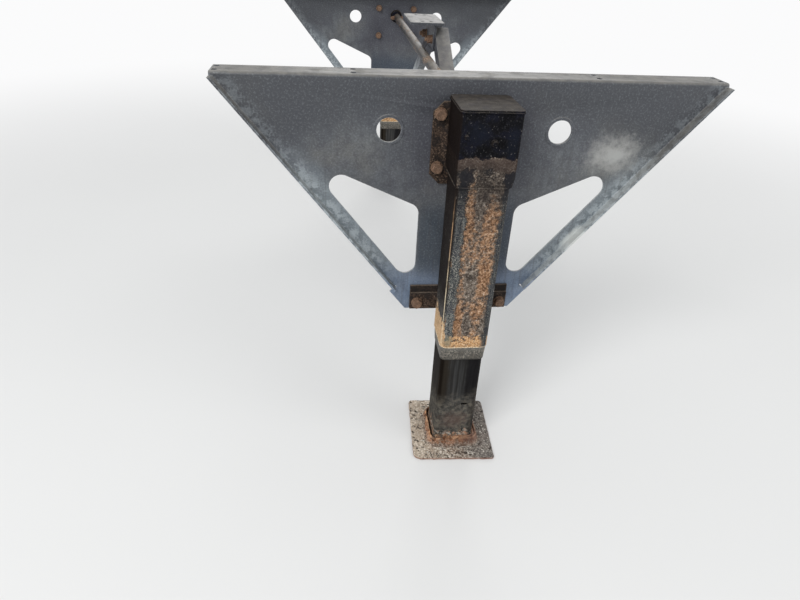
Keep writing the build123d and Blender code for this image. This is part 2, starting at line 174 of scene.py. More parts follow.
def effect(name, inputs, *outputs):
    """A new shader node group: its tree, the readings that it is given and the sockets that it puts out."""
    tree = bpy.data.node_groups.new(name, "ShaderNodeTree")
    for label, start in inputs.items():
        kind = "NodeSocketVector" if start is None else "NodeSocketFloat"
        socket = tree.interface.new_socket(label, in_out="INPUT", socket_type=kind)
        if start is not None:
            socket.default_value = start
    for label in outputs:
        kind = "NodeSocketColor" if label == "Colour" else "NodeSocketFloat"
        tree.interface.new_socket(label, in_out="OUTPUT", socket_type=kind)
    given = dict(zip(inputs, map(Reading, tree.nodes.new("NodeGroupInput").outputs)))
    return tree, given, tree.nodes.new("NodeGroupOutput").inputs


# Bare edges: where a rounded edge turns within the width, broken up by fine noise
edge_wear, given, wanted = effect("edge wear", {"Place": None, "Width": 0.003, "Grain": 0.006}, "Mask")
round_normal = add(edge_wear, "ShaderNodeBevel", {"Radius": given["Width"]}, samples=6)
turned = (1.0 - facing(edge_wear, round_normal)).between(0.02, 0.16)
put(wanted["Mask"], turned * lumps(given["Place"], given["Grain"], 5.0, 0.65).between(0.38, 0.58))

# Rust: patches with crumbling edges over a share of the surface, grey brown where cool and orange where warm
rust_inputs = {"Place": None, "Patch": 0.03, "Cover": 0.4, "Grain": 0.0045, "Warmth": 0.6}
rust, given, wanted = effect("rust", rust_inputs, "Mask", "Colour", "Height")
grains = lumps(given["Place"], given["Grain"], 5.0, 0.78)
patches = lumps(given["Place"], given["Patch"], 6.0, 0.62, 0.5)
edge = given["Cover"].between(0.0, 1.0, 1.10, 0.44)
rust_mask = (patches + grains * 0.55 - edge).between(-0.07, 0.07)
drift = lumps(given["Place"], given["Patch"] * 0.55, 4.0, 0.6)
tone = grains * 0.70 + drift * 0.30
cool = tone.shades((0.39, 48, 42, 38), (0.46, 88, 79, 72), (0.51, 116, 105, 95), (0.56, 148, 137, 125),
                   (0.62, 190, 182, 172))
warm = tone.shades((0.39, 64, 45, 35), (0.46, 110, 81, 61), (0.51, 146, 111, 83), (0.56, 174, 140, 111),
                   (0.62, 208, 184, 160))
heat = given["Warmth"] + drift.between(0.36, 0.64, -0.30, 0.30)
put(wanted["Mask"], rust_mask)
put(wanted["Colour"], cool.under(heat.between(0.1, 0.9), warm))
put(wanted["Height"], rust_mask * grains)

# Dust that has settled on what faces up, thicker in some places than others
dust, given, wanted = effect("settled dust", {"Place": None, "Amount": 0.5, "Grain": 0.02}, "Mask")
lying = facing(dust, (0.0, 0.0, 1.0)).between(0.25, 0.95)
thick = lumps(given["Place"], given["Grain"], 6.0, 0.62).between(0.34, 0.64, 0.55, 1.0)
put(wanted["Mask"], lying * thick * given["Amount"])

# Marks that water and grease leave, long up and down and narrow across
streaks, given, wanted = effect("run marks", {"Place": None, "Width": 0.008, "Length": 0.12}, "Value")
thin, long = 1.0 / given["Width"], 1.0 / given["Length"]
shrink = add(streaks, "ShaderNodeCombineXYZ", {"X": thin, "Y": thin, "Z": long})
put(wanted["Value"], lumps(given["Place"].vector("MULTIPLY", shrink), 1.0, 4.0, 0.6))

# One soft patch about a centre, with half sizes along the three axes and a ragged outline
blot_inputs = {"Place": None, "Centre": None, "Reach": None, "Ragged": 0.8, "Soft": 0.3}
blot, given, wanted = effect("blot", blot_inputs, "Mask")
offset = given["Place"].vector("SUBTRACT", given["Centre"]).vector("DIVIDE", given["Reach"])
wobble = (lumps(given["Place"], 0.016, 5.0, 0.65) - 0.5) * given["Ragged"]
distance = offset.vector("LENGTH", out="Value") + wobble
put(wanted["Mask"], distance.between(given["Soft"] + 1.0, 1.0 - given["Soft"]))


class Finish:
    """A material as it is built up: its shader, the places on the piece and the colour so far. Its slot is
    not used.
    """

    def __init__(self, name, slot=None, roughness=0.6, metallic=0.0, gloss=0.35):
        self.slot = slot
        self.colour = None
        self.material = bpy.data.materials.new(name)
        self.material.use_nodes = True
        self.tree = self.material.node_tree
        self.shader = self.tree.nodes["Principled BSDF"].inputs
        put(self.shader["Roughness"], roughness)
        put(self.shader["Metallic"], metallic)
        put(self.shader["Specular IOR Level"], gloss)
        self.place = add(self.tree, "ShaderNodeTexCoord", out="Object")
        along = add(self.tree, "ShaderNodeSeparateXYZ", {0: self.place}).socket.node.outputs
        self.x, self.y, self.z = map(Reading, along)

    def lumps(self, *sizes):
        return lumps(self.place, *sizes)

    def use(self, group, **inputs):
        """What a shader node group reads here: one reading, or as many as it puts out."""
        first = add(self.tree, "ShaderNodeGroup", {"Place": self.place, **inputs}, node_tree=group)
        readings = [Reading(socket) for socket in first.socket.node.outputs]
        return readings if len(readings) > 1 else first

    def blotch(self, face, x, z, half_width, half_height, ragged, soft, deep=0.06):
        """A patch on the curb side, on the face at that y."""
        reach = (half_width, deep, half_height)
        return self.use(blot, Centre=(x, face, z), Reach=reach, Ragged=ragged, Soft=soft)

    def lay(self, mask, *over):
        """Lays a paint, or a reading that is a colour, over the colour so far."""
        self.colour = self.colour.under(mask, *over)

    def rusted(self, share, **inputs):
        """Lays rust over the colour at a share of its strength, and gives back its mask and its height."""
        mask, colour, height = self.use(rust, **inputs)
        self.lay(mask * share, colour)
        return mask, height

    def done(self, height, depth, strength=1.0, roughness=None):
        """Puts in the colour, a relief of that depth in metres, and roughness where it changes."""
        bump = add(self.tree, "ShaderNodeBump", {"Height": height, "Distance": depth, "Strength": strength})
        put(self.shader["Normal"], bump)
        put(self.shader["Base Color"], self.colour)
        if roughness is not None:
            put(self.shader["Roughness"], roughness)
        return self


def galvanised_sheet():
    """Dull zinc: blue and warm greys, a pale patch, run marks, painted shade at head and top, painted sheen
    on folds.
    """
    coat = Finish("galvanised_sheet", "galvanised", metallic=0.1, gloss=0.25)
    low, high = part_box("curb_wing_plate")
    mottle = coat.lumps(0.0050, 4.0, 0.75)
    broad = coat.lumps(0.17, 3.0, 0.5, 0.4)
    coat.colour = broad.shades((0.38, 82, 84, 90), (0.50, 93, 96, 100), (0.62, 100, 101, 101))
    clouds = coat.lumps(0.05, 5.0, 0.6).between(0.46, 0.68)
    coat.lay(clouds * 0.35, 124, 128, 130)
    coat.lay(coat.lumps(0.024, 4.0, 0.6, 0.3).between(0.44, 0.60, 0.0, 0.40), 74, 74, 80)
    # Painted shade, violet, beside the head and across the top, bluer towards the low corner, painted sheen
    # along the fold
    away = abs(coat.x)
    head_shade = away.between(0.24, 0.10) * coat.z.between(-0.36, -0.20)
    coat.lay(head_shade * 0.75, 63, 63, 71)
    # Painted shade across the top of the sheet
    top = (coat.z + away * 0.30).between(-0.10, 0.03)
    coat.lay(top * 0.85, 68, 70, 74)
    # Painted sheen: a paler band along the lower fold, and painted highlights beside it broken up by noise
    fold_run = (high.x - WING_LOW_HALF) / (high.z - low.z)
    from_fold = away - (coat.z * fold_run + high.x)
    lower = coat.z.between(-0.14, -0.30)
    coat.lay(from_fold.between(-0.095, -0.045) * lower * 0.62, 128, 138, 144)
    sheen_breakup = coat.lumps(0.020, 5.0, 0.62).between(0.42, 0.58)
    beside = from_fold.between(-0.055, -0.010) * (lower * 0.75 + 0.25)
    coat.lay(beside * sheen_breakup * 0.75, 172, 180, 184)
    coat.lay(coat.z.between(-0.44, -0.55) * 0.80, 112, 128, 152)
    # Painted shade in the strip between the leg and the opening, kept off the low corner
    leg_shade = away.between(0.132, 0.112) * coat.z.between(-0.26, -0.36) * coat.z.between(-0.56, -0.46)
    coat.lay(leg_shade * 0.75, 56, 66, 78)
    coat.lay(mottle.between(0.50, 0.40, 0.0, 0.20), 58, 60, 66)
    coat.lay(mottle.between(0.52, 0.62, 0.0, 0.15), 158, 164, 168)
    coat.lay(coat.use(streaks, Width=0.010, Length=0.20).between(0.50, 0.68, 0.0, 0.30), 74, 74, 77)
    # Painted sheen on the faces turned away from the front, the flanges, in the lower part
    flange_sheen = abs(facing(coat.tree, (0.0, 1.0, 0.0))).between(0.75, 0.35) * (sheen_breakup * 0.5 + 0.35)
    coat.lay(flange_sheen * lower, 178, 185, 188)
    # A pale patch with a paler core ahead of the front hole, and a painted highlight on the front fold
    coat.lay(coat.blotch(low.y, 0.352, -0.176, 0.054, 0.038, 2.2, 0.85, deep=0.5) * 0.80, 164, 164, 161)
    coat.lay(coat.blotch(low.y, 0.362, -0.180, 0.026, 0.016, 2.0, 0.8, deep=0.5) * 0.35, 176, 178, 177)
    fold_highlight = coat.blotch(low.y, 0.297, -0.402, 0.034, 0.030, 1.8, 0.6, deep=0.5)
    coat.lay(fold_highlight * from_fold.between(-0.026, -0.010) * 0.75, 210, 213, 210)
    coat.rusted(0.40, Patch=0.02, Cover=0.10, Grain=0.003, Warmth=0.3)
    coat.lay(coat.use(edge_wear, Width=0.003, Grain=0.01) * 0.55, 178, 184, 188)
    coat.lay(coat.use(dust, Amount=0.55, Grain=0.03), 146, 142, 134)
    relief = mottle * 0.10 + coat.lumps(0.11, 2.0, 0.5)
    return coat.done(relief, 0.0022, 0.55, roughness=clouds.between(0.0, 1.0, 0.52, 0.70))


def stands_for(piece, node, body="gear"):
    """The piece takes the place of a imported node."""
    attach(piece, body)
    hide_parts(node)


def new_piece(name, mesh, coat):
    mesh.name = name
    mesh.materials.clear()
    mesh.materials.append(coat.material)
    piece = bpy.data.objects.new(name, mesh)
    bpy.context.collection.objects.link(piece)
    return piece


def merged_copy(node, name, coat):
    """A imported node's mesh with its loose triangles joined and its flat faces made whole."""
    shape = bmesh.new()
    shape.from_mesh(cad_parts[node].data)
    bmesh.ops.remove_doubles(shape, verts=shape.verts, dist=JOIN_WITHIN)
    bmesh.ops.dissolve_limit(shape, angle_limit=FLAT_WITHIN, verts=shape.verts, edges=shape.edges)
    mesh = bpy.data.meshes.new(name)
    shape.to_mesh(mesh)
    shape.free()
    return new_piece(name, mesh, coat)


def dressed(node, name, coat, edge, body="gear", steps=2):
    """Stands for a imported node, with its sharp edges rounded over and its own finish."""
    piece = merged_copy(node, name, coat)
    piece.data.shade_smooth()
    rounding = piece.modifiers.new("rounded edges", "BEVEL")
    rounding.width = edge
    rounding.segments = steps
    rounding.limit_method = "ANGLE"
    rounding.angle_limit = ROUND_FROM
    rounding.harden_normals = True
    stands_for(piece, node, body)


zinc_sheet = galvanised_sheet()
for side in SIDES:
    dressed(f"{side}_wing_plate", f"{side}_wing_sheet", zinc_sheet, edge=0.0011)


# Outer tubes: 5 inch square steel tube, painted black. On a leg this old the paint is left only in strips,
# and rust covers the face between them, down to a worn lip at the mouth.
TUBE_STEP = 0.009
DENT_DEPTH = 0.0007
DENT_SIZE = 0.07
WALL = 0.0048
LIP = 0.0012
OUTER_CORNER = 0.018
SHARP_FROM = math.radians(50)

# Bruises of blue and violet in the paint: along x, above the ground, half width, half height
BRUISES = ((-0.037, 0.832, 0.017, 0.022), (0.050, 0.910, 0.014, 0.034), (0.050, 0.828, 0.012, 0.030),
           (-0.030, 0.935, 0.020, 0.020), (-0.050, 0.700, 0.008, 0.050))

# Marks on the curb side tube's outboard face: along x, above the ground, half width, half height, how much
# warmer the rust is there and how much darker
FACE_MARKS = (
    (-0.024, 0.760, 0.014, 0.070, 0.50, 0.00),
    (-0.003, 0.790, 0.014, 0.080, -0.70, 0.45),
    (0.024, 0.730, 0.016, 0.080, 0.35, 0.00),
    (0.026, 0.800, 0.022, 0.035, -0.20, 0.45),
    (-0.004, 0.562, 0.017, 0.052, -0.80, 0.20),
    (-0.007, 0.577, 0.009, 0.009, -0.30, 0.75),
    (0.026, 0.580, 0.014, 0.045, 0.60, 0.00),
    (0.023, 0.536, 0.009, 0.010, 0.90, 0.35),
    (-0.028, 0.450, 0.010, 0.050, 0.70, 0.00),
    (-0.002, 0.436, 0.011, 0.036, -0.90, 0.50),
    (0.020, 0.475, 0.020, 0.024, 0.35, 0.00),
    (0.047, 0.428, 0.015, 0.042, -0.90, 0.30),
)


def leg_paint():
    """Black paint above the weld line, faded strips and speckled rust below it, fresh rust at the mouth."""
    coat = Finish("leg_paint", "black_paint", gloss=0.03)
    face_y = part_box("curb_outer_tube")[0].y
    bruise = coat.lumps(0.030, 5.0, 0.6)
    wander = bruise - 0.5
    fine = coat.lumps(0.0036, 5.0, 0.80)
    height = coat.z - GROUND + wander * 0.040
    across = coat.x + wander * 0.030 + fine.between(0.40, 0.60, -0.003, 0.003)
    side_face = abs(facing(coat.tree, (1.0, 0.0, 0.0))).between(0.60, 0.90)
    # Paint that is left: black on the head, faded on the tube, with violet and blue bruises
    black = bruise.shades((0.40, 14, 14, 16), (0.50, 19, 19, 22), (0.58, 21, 22, 30))
    black = black.under(fine.between(0.55, 0.68, 0.0, 0.50), 80, 80, 84)
    faded = fine.shades((0.40, 40, 43, 45), (0.47, 70, 73, 74), (0.53, 100, 101, 98), (0.60, 150, 146, 137),
                        (0.66, 204, 198, 186))
    faded = faded.under(bruise.between(0.50, 0.62, 0.0, 0.50), 56, 56, 64)
    runs = coat.use(streaks, Width=0.007, Length=0.06)
    faded = faded.under(runs.between(0.54, 0.66, 0.0, 0.60), 128, 130, 128)
    faded = faded.under(runs.between(0.46, 0.36, 0.0, 0.50), 32, 36, 43)
    faded = faded.under(height.between(0.73, 0.82, 0.0, 0.92), 20, 24, 31)
    # Darker and less speckled on the side faces and towards the right corner, partly painted shade
    faded = faded.under(side_face * 0.55 | across.between(0.030, 0.046, 0.0, 0.45), 36, 39, 44)
    on_tube = height.between(0.880, 0.850)
    coat.colour = black.under(on_tube, faded)
    for x, up, half_width, half_height in BRUISES:
        coat.lay(coat.blotch(face_y, x, GROUND + up, half_width, half_height, 2.0, 0.6) * 0.50, 25, 29, 39)
    # Rust: a band along the weld, and the face between the two strips of paint, which is stained brown there
    band = height.between(0.884, 0.876) * height.between(0.846, 0.858)
    strip_left = across.between(-0.064, -0.058) * across.between(-0.030, -0.040)
    strips = strip_left | across.between(0.040, 0.052) | side_face.between(0.2, 0.8, 0.0, 0.7)
    stained = (1.0 - strips) * on_tube * height.between(0.86, 0.76)
    brown = fine.shades((0.40, 46, 40, 37), (0.50, 78, 69, 62), (0.60, 124, 114, 104), (0.66, 178, 170, 160))
    coat.lay(stained * 0.85, brown)
    cover = (height.between(0.850, 0.740, 0.50, 0.80) - strips * 0.66) * on_tube
    cover = (cover | band * 0.86 | 0.14) - side_face * height.between(0.42, 0.52) * 0.40
    warmth = height.between(0.860, 0.720, 0.00, 0.50)
    darker = side_face * 0.35
    for x, up, half_width, half_height, warmer, deeper in FACE_MARKS:
        marked = coat.blotch(face_y, x, GROUND + up, half_width, half_height, 1.6, 0.45)
        warmth = warmth + marked * (warmer * 0.75)
        darker = darker + marked * deeper
    scale, scale_height = coat.rusted(1.0, Patch=0.020, Cover=cover, Grain=0.0042, Warmth=warmth)
    coat.lay(band * 0.78, 66, 55, 51)
    # Darker marks, and painted shade on the side faces and rising up the tube towards the head
    coat.lay(darker * 0.6 + height.between(0.62, 0.87, 0.0, 0.45) * on_tube, 46, 42, 41)
    salt = lumps(coat.place.vector("MULTIPLY", (1.0, 1.0, 0.8)), 0.0052, 2.0, 0.5).between(0.66, 0.74)
    coat.lay(salt * height.between(0.86, 0.70, 0.15, 0.75), 196, 190, 182)
    # Fresh yellow rust at the mouth, higher on the rear face, and gone towards the front corner
    rear = facing(coat.tree, (-1.0, 0.0, 0.0)).between(0.45, 0.80)
    # Painted shadow on the rear face above the mouth
    coat.lay(rear * 0.80 * height.between(0.44, 0.54), 24, 18, 15)
    crumbs = coat.lumps(0.011, 5.0, 0.65) - 0.5
    fresh_top = rear * 0.045 + 0.394 + crumbs * 0.10
    fresh = (height - fresh_top).between(0.005, -0.006) * (across.between(0.050, 0.034) | side_face)
    yellow = fine.shades((0.40, 122, 82, 52), (0.47, 182, 134, 88), (0.53, 210, 170, 124),
                         (0.60, 232, 208, 176))
    yellow = yellow.under(crumbs.between(-0.02, -0.12, 0.0, 0.7), 128, 106, 86)
    # The fresh rust is paler on the rear face: painted light
    coat.lay(fresh, yellow.under(rear * 0.5, 198, 172, 140))
    coat.lay(coat.blotch(face_y, -0.046, GROUND + 0.386, 0.011, 0.016, 2.0, 0.5) * 0.7, 118, 116, 100)
    # A pale line down the rear outboard corner, browner higher up
    corner_line = facing(coat.tree, (-0.90, -0.43, 0.0)).between(0.989, 0.998) * height.between(0.80, 0.70)
    corner_line = corner_line * fine.between(0.38, 0.48, 0.45, 0.95) * bruise.between(0.38, 0.48, 0.35, 1.0)
    coat.lay(corner_line, mix(height.between(0.52, 0.70), paint(216, 200, 172), paint(172, 138, 106)))
    coat.lay(coat.use(edge_wear, Width=0.003, Grain=0.008) * 0.35, 96, 88, 82)
    coat.lay(coat.use(dust, Amount=0.40, Grain=0.02), 110, 103, 95)
    relief = scale_height * 1.6 + fine * 0.35
    return coat.done(relief, 0.0012, roughness=(scale | fresh).between(0.0, 1.0, 0.58, 0.90))


def round_outline(width, depth, corner, step):
    """Points round a rectangle with rounded corners, each with the direction that faces out there."""
    half = Vector((width / 2 - corner, depth / 2 - corner))
    quarters = [Vector(signs) for signs in ((1, 1), (-1, 1), (-1, -1), (1, -1))]
    points = []
    for k, quarter in enumerate(quarters):
        centre = quarter * half
        count = max(5, round(corner * math.pi / 2 / step))
        for i in range(count + 1):
            angle = math.pi / 2 * (k + i / count)
            out = Vector((math.cos(angle), math.sin(angle)))
            points.append((centre + out * corner, out))
        start = centre + out * corner
        end = quarters[(k + 1) % 4] * half + out * corner
        count = max(1, round((end - start).length / step))
        points += [(start.lerp(end, i / count), out) for i in range(1, count)]
    return points


def wrapped_skin(name, centre, points, stations, coat):
    """A closed skin swept round the points: a station is an inset from the outer face and a height."""
    shape = bmesh.new()
    rings = []
    for inset, height in stations:
        rings.append([shape.verts.new((*(centre + p - out * inset), height)) for p, out in points])
    for lower, upper in zip(rings, rings[1:] + rings[:1]):
        for k in range(len(points)):
            following = (k + 1) % len(points)
            shape.faces.new((lower[k], lower[following], upper[following], upper[k]))
    mesh = bpy.data.meshes.new(name)
    shape.to_mesh(mesh)
    shape.free()
    mesh.shade_smooth()
    return new_piece(name, mesh, coat)


def leg_centre(side):
    low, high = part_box(f"{side}_outer_tube")
    return Vector((0.0, (low.y + high.y) / 2))


leg_coat = leg_paint()
for side in SIDES:
    low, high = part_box(f"{side}_outer_tube")
    centre = leg_centre(side)
    rows = round((high.z - low.z) / TUBE_STEP)
    outside = [(0.0, low.z + LIP + (high.z - low.z - 2 * LIP) * k / rows) for k in range(rows + 1)]
    mouth = [(WALL, high.z), (WALL, low.z + LIP), (WALL - LIP * 0.6, low.z), (LIP * 0.7, low.z)]
    outline = round_outline(high.x - low.x, high.x - low.x, OUTER_CORNER, TUBE_STEP)
    tube = wrapped_skin(f"{side}_leg_tube", centre, outline, mouth + outside, leg_coat)
    for vertex in tube.data.vertices:
        place = vertex.co
        out = Vector((place.x, place.y - centre.y, 0.0)).normalized()
        vertex.co = place - out * max(0.0, noise.noise(place / DENT_SIZE)) * DENT_DEPTH
    tube.data.set_sharp_from_angle(angle=SHARP_FROM)
    stands_for(tube, f"{side}_outer_tube")


# Gear heads: a heavier square sleeve welded round the top of each tube and closed by a cap, with the cross
# shaft's boss on its inboard side. Both are painted black.
for side in SIDES:
    dressed(f"{side}_gear_head", f"{side}_head_sleeve", leg_coat, edge=0.0014, steps=3)
    dressed(f"{side}_head_cap", f"{side}_head_lid", leg_coat, edge=0.0012)


# Guide collars: a cast steel collar under the mouth of each outer tube, drawn in towards the inner tube.
# It is worn to grey metal, with scratches and a film of old grease.
def collar_steel():
    coat = Finish("collar_steel", "worn_collar", metallic=0.1)
    low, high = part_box("curb_guide_collar")
    fine = coat.lumps(0.0045, 5.0, 0.75)
    broad = coat.lumps(0.018, 4.0, 0.6)
    coat.colour = fine.shades((0.40, 50, 48, 45), (0.47, 80, 78, 73), (0.53, 102, 98, 92),
                              (0.60, 150, 143, 130))
    coat.lay(broad.between(0.48, 0.60, 0.0, 0.6), 72, 68, 62)
    coat.rusted(0.6, Patch=0.014, Cover=0.20, Grain=0.004, Warmth=0.3)
    # Painted light along the top of the collar, and painted shade along its bottom edge
    coat.lay(coat.z.between(high.z - 0.020, high.z - 0.004, 0.0, 0.40), 124, 122, 116)
    coat.lay(coat.z.between(low.z + 0.007, low.z + 0.001) * 0.8, 36, 33, 30)
    return coat.done(fine + broad, 0.0009, 0.8, roughness=fine.between(0.40, 0.60, 0.50, 0.74))


worn_collar = collar_steel()
for side in SIDES:
    dressed(f"{side}_guide_collar", f"{side}_collar_casting", worn_collar, edge=0.0020, steps=3)


# Inner tubes: the square tube that slides in each collar, dark with grease above, dusty and paler near the
# foot. A short slot near the bottom opens on the pin that holds the shoe.
def greased_tube():
    coat = Finish("greased_tube", "inner_leg", gloss=0.02)
    face_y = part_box("curb_inner_tube")[0].y
    wander = coat.lumps(0.035, 5.0, 0.6) - 0.5
    height = coat.z - GROUND + wander * 0.08
    across = coat.x + wander * 0.020
    runs = coat.use(streaks, Width=0.011, Length=0.24)
    fine = coat.lumps(0.0036, 4.0, 0.7)
    soft = coat.lumps(0.014, 5.0, 0.6)
    coat.colour = runs.shades((0.38, 40, 39, 38), (0.50, 54, 54, 54), (0.62, 68, 67, 66))
    # Painted shade: browner towards the left corner, darker towards the right corner and on the rear face
    coat.lay(across.between(-0.024, -0.040, 0.0, 0.90), 42, 37, 31)
    coat.lay(across.between(0.010, 0.026, 0.0, 0.80), 19, 18, 20)
    coat.lay(facing(coat.tree, (-1.0, 0.0, 0.0)).between(0.05, 0.50) * 0.90, 19, 14, 10)
    # Dust, from the slot's level down, thinner towards the front corner
    level = across.between(-0.02, 0.03) * 0.014 + 0.168
    pale = (height - level).between(0.045, -0.035) * across.between(0.056, 0.040, 0.45, 1.0)
    dusty = soft.shades((0.38, 54, 53, 50), (0.50, 76, 74, 70), (0.62, 102, 97, 88))
    coat.lay(pale * 0.9, dusty.under(fine.between(0.54, 0.66, 0.0, 0.35), 132, 128, 120))
    coat.lay(coat.blotch(face_y, -0.004, GROUND + 0.100, 0.034, 0.022, 3.0, 0.8) * 0.40, 108, 88, 80)
    coat.lay(runs.between(0.54, 0.66, 0.0, 0.25), 84, 74, 64)
    # Rust and lime crusts at the foot, where water stands in the ring
    crust = coat.lumps(0.010, 4.0, 0.6).between(0.48, 0.56) * height.between(0.066, 0.046)
    coat.lay(crust * 0.85, mix(soft.between(0.46, 0.54), paint(172, 166, 156), paint(182, 132, 104)))
    coat.rusted(0.75, Patch=0.014, Cover=height.between(0.075, 0.045, 0.12, 0.50), Grain=0.004, Warmth=0.6)
    return coat.done(soft * 0.6 + runs * 0.5, 0.0006, 0.8, roughness=height.between(0.14, 0.22, 0.80, 0.60))


inner_steel = greased_tube()
for side in SIDES:
    dressed(f"{side}_inner_tube", f"{side}_slide_tube", inner_steel, edge=0.0012)


# Feet: a sand shoe of 8 mm plate with a raised ring round the tube's foot. Both are rusted and pitted, their
# edges rounded by years of gravel, the plate grey with grit and the ring orange.
PLATE_VOXEL, PLATE_GRAIN = 0.0024, 0.016
RING_VOXEL, RING_GRAIN = 0.0018, 0.012
WEAR = 0.0013
EVEN_WEAR, UNEVEN_WEAR = 0.35, 0.65
PIT_GRAIN, PIT_FROM, PIT_DEPTH = 0.45, 0.25, 1.5
PITS_FROM = Vector((7.0, 3.0, 1.0))
SOFTENINGS = 2
FOOT_CLEAR = 0.0001


def foot_dust():
    coat = Finish("foot_dust", "foot_steel", roughness=0.92, gloss=0.2)
    fine = coat.lumps(0.0058, 5.0, 0.80)
    coat.colour = fine.shades((0.41, 66, 56, 48), (0.46, 116, 104, 92), (0.50, 154, 142, 128),
                              (0.54, 192, 180, 165), (0.60, 236, 228, 216))
    coat.lay(coat.lumps(0.045, 5.0, 0.6, 0.3).between(0.46, 0.60, 0.0, 0.35), 160, 134, 114)
    # Painted shadow of the leg towards +x, and painted light towards -x
    coat.lay(coat.x.between(-0.03, 0.10, 0.0, 0.66), 88, 86, 86)
    coat.lay(coat.x.between(0.00, -0.10, 0.0, 0.45), 208, 192, 172)
    coat.rusted(0.45, Patch=0.025, Cover=0.26, Grain=0.005, Warmth=0.4)
    pits = coat.lumps(0.012, 5.0, 0.6).between(0.43, 0.34)
    coat.lay(pits * 0.85, 50, 43, 38)
    coat.lay(facing(coat.tree, (0.0, 0.0, 1.0)).between(0.80, 0.30) * 0.70, 146, 108, 92)
    return coat.done(fine - pits * 0.9, 0.0022)


def ring_rust():
    coat = Finish("ring_rust", "foot_rust", roughness=0.9, gloss=0.25)
    plate_top, ring_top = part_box("curb_foot_plate")[1].z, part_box("curb_foot_ring")[1].z
    tube_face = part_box("curb_inner_tube")[1].x
    fine = coat.lumps(0.0055, 5.0, 0.76)
    broad = coat.lumps(0.020, 4.0, 0.6)
    coat.colour = broad.shades((0.40, 88, 56, 36), (0.47, 134, 92, 62), (0.54, 166, 116, 86),
                               (0.62, 186, 148, 122))
    coat.lay(fine.between(0.48, 0.40, 0.0, 0.60), 76, 50, 35)
    coat.lay(fine.between(0.53, 0.62, 0.0, 0.65), 212, 190, 168)
    coat.lay(coat.lumps(0.016, 5.0, 0.66).between(0.49, 0.58, 0.0, 0.55), 146, 130, 114)
    # A painted highlight along the ring's crest
    crest_highlight = coat.z.between(ring_top - 0.006, ring_top - 0.001) * broad.between(0.42, 0.54)
    coat.lay(crest_highlight * 0.55, 216, 168, 126)
    # Painted shade towards +x, where the leg's shadow falls
    coat.lay(coat.x.between(-0.005, 0.060, 0.0, 0.65), 108, 86, 80)
    foot = coat.z + broad.between(0.40, 0.60, -0.003, 0.003)
    grit = fine.shades((0.42, 78, 70, 63), (0.50, 138, 126, 114), (0.58, 196, 184, 170))
    coat.lay(foot.between(plate_top + 0.014, plate_top + 0.002, 0.0, 0.85), grit)
    # Painted shade in the crease beside the tube's faces
    coat.lay(abs(coat.x).between(tube_face + 0.0065, tube_face + 0.002) * 0.35, 66, 38, 24)
    return coat.done(fine + broad, 0.0018)


def weathered(node, name, coat, voxel, grain):
    """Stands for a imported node, as a fine skin whose edges are soft and whose faces rust has eaten."""
    piece = merged_copy(node, name, coat)
    skin = piece.modifiers.new("fine skin", "REMESH")
    skin.mode = "VOXEL"
    skin.voxel_size = voxel
    graph = bpy.context.evaluated_depsgraph_get()
    mesh = bpy.data.meshes.new_from_object(piece.evaluated_get(graph), depsgraph=graph)
    piece.modifiers.clear()
    piece.data = mesh
    soften = bmesh.new()
    soften.from_mesh(mesh)
    axes = {f"use_axis_{axis}": True for axis in "xyz"}
    for _ in range(SOFTENINGS):
        bmesh.ops.smooth_vert(soften, verts=soften.verts, factor=0.5, **axes)
    soften.normal_update()
    for vertex in soften.verts:
        place = vertex.co
        eaten = EVEN_WEAR + UNEVEN_WEAR * noise.fractal(place / grain, 1.0, 2.0, 4)
        pit = max(0.0, noise.noise(place / (grain * PIT_GRAIN) + PITS_FROM) - PIT_FROM)
        vertex.co = place - vertex.normal * WEAR * max(0.0, eaten + PIT_DEPTH * pit)
        vertex.co.z = max(vertex.co.z, GROUND + FOOT_CLEAR)
    soften.to_mesh(mesh)
    soften.free()
    mesh.shade_smooth()
    stands_for(piece, node)


foot_coat = foot_dust()
ring_coat = ring_rust()
for side in SIDES:
    weathered(f"{side}_foot_plate", f"{side}_shoe_plate", foot_coat, PLATE_VOXEL, PLATE_GRAIN)
    weathered(f"{side}_foot_ring", f"{side}_shoe_ring", ring_coat, RING_VOXEL, RING_GRAIN)


# Grit on the feet: crushed stone and sand caught on each plate, spread by geometry nodes over its upper face
# outside the ring.
GRIT_DENSITY = 16000.0
GRIT_SIZE = 0.0025
GRIT_SMALLEST = 0.30
GRIT_CHIP = 0.004
GRIT_INSET = 0.013
GRIT_SUNK = 0.0006
FULL_TURN = 6.28


def recipe(name, **inputs):
    """A new geometry node group, and its readings by name: the start, these inputs and the material."""
    tree = bpy.data.node_groups.new(name, "GeometryNodeTree")
    tree.interface.new_socket("Geometry", in_out="OUTPUT", socket_type="NodeSocketGeometry")
    kinds = {"Geometry": "Geometry", **inputs, "Material": "Material"}
    for label, kind in kinds.items():
        tree.interface.new_socket(label, in_out="INPUT", socket_type=f"NodeSocket{kind}")
    return tree, dict(zip(kinds, map(Reading, tree.nodes.new("NodeGroupInput").outputs)))


def complete(tree, geometry, material):
    """Ends a recipe: the instances are made real and get their material."""
    real = add(tree, "GeometryNodeRealizeInstances", {"Geometry": geometry})
    made = add(tree, "GeometryNodeSetMaterial", {"Geometry": real, "Material": material})
    put(tree.nodes.new("NodeGroupOutput").inputs["Geometry"], made)


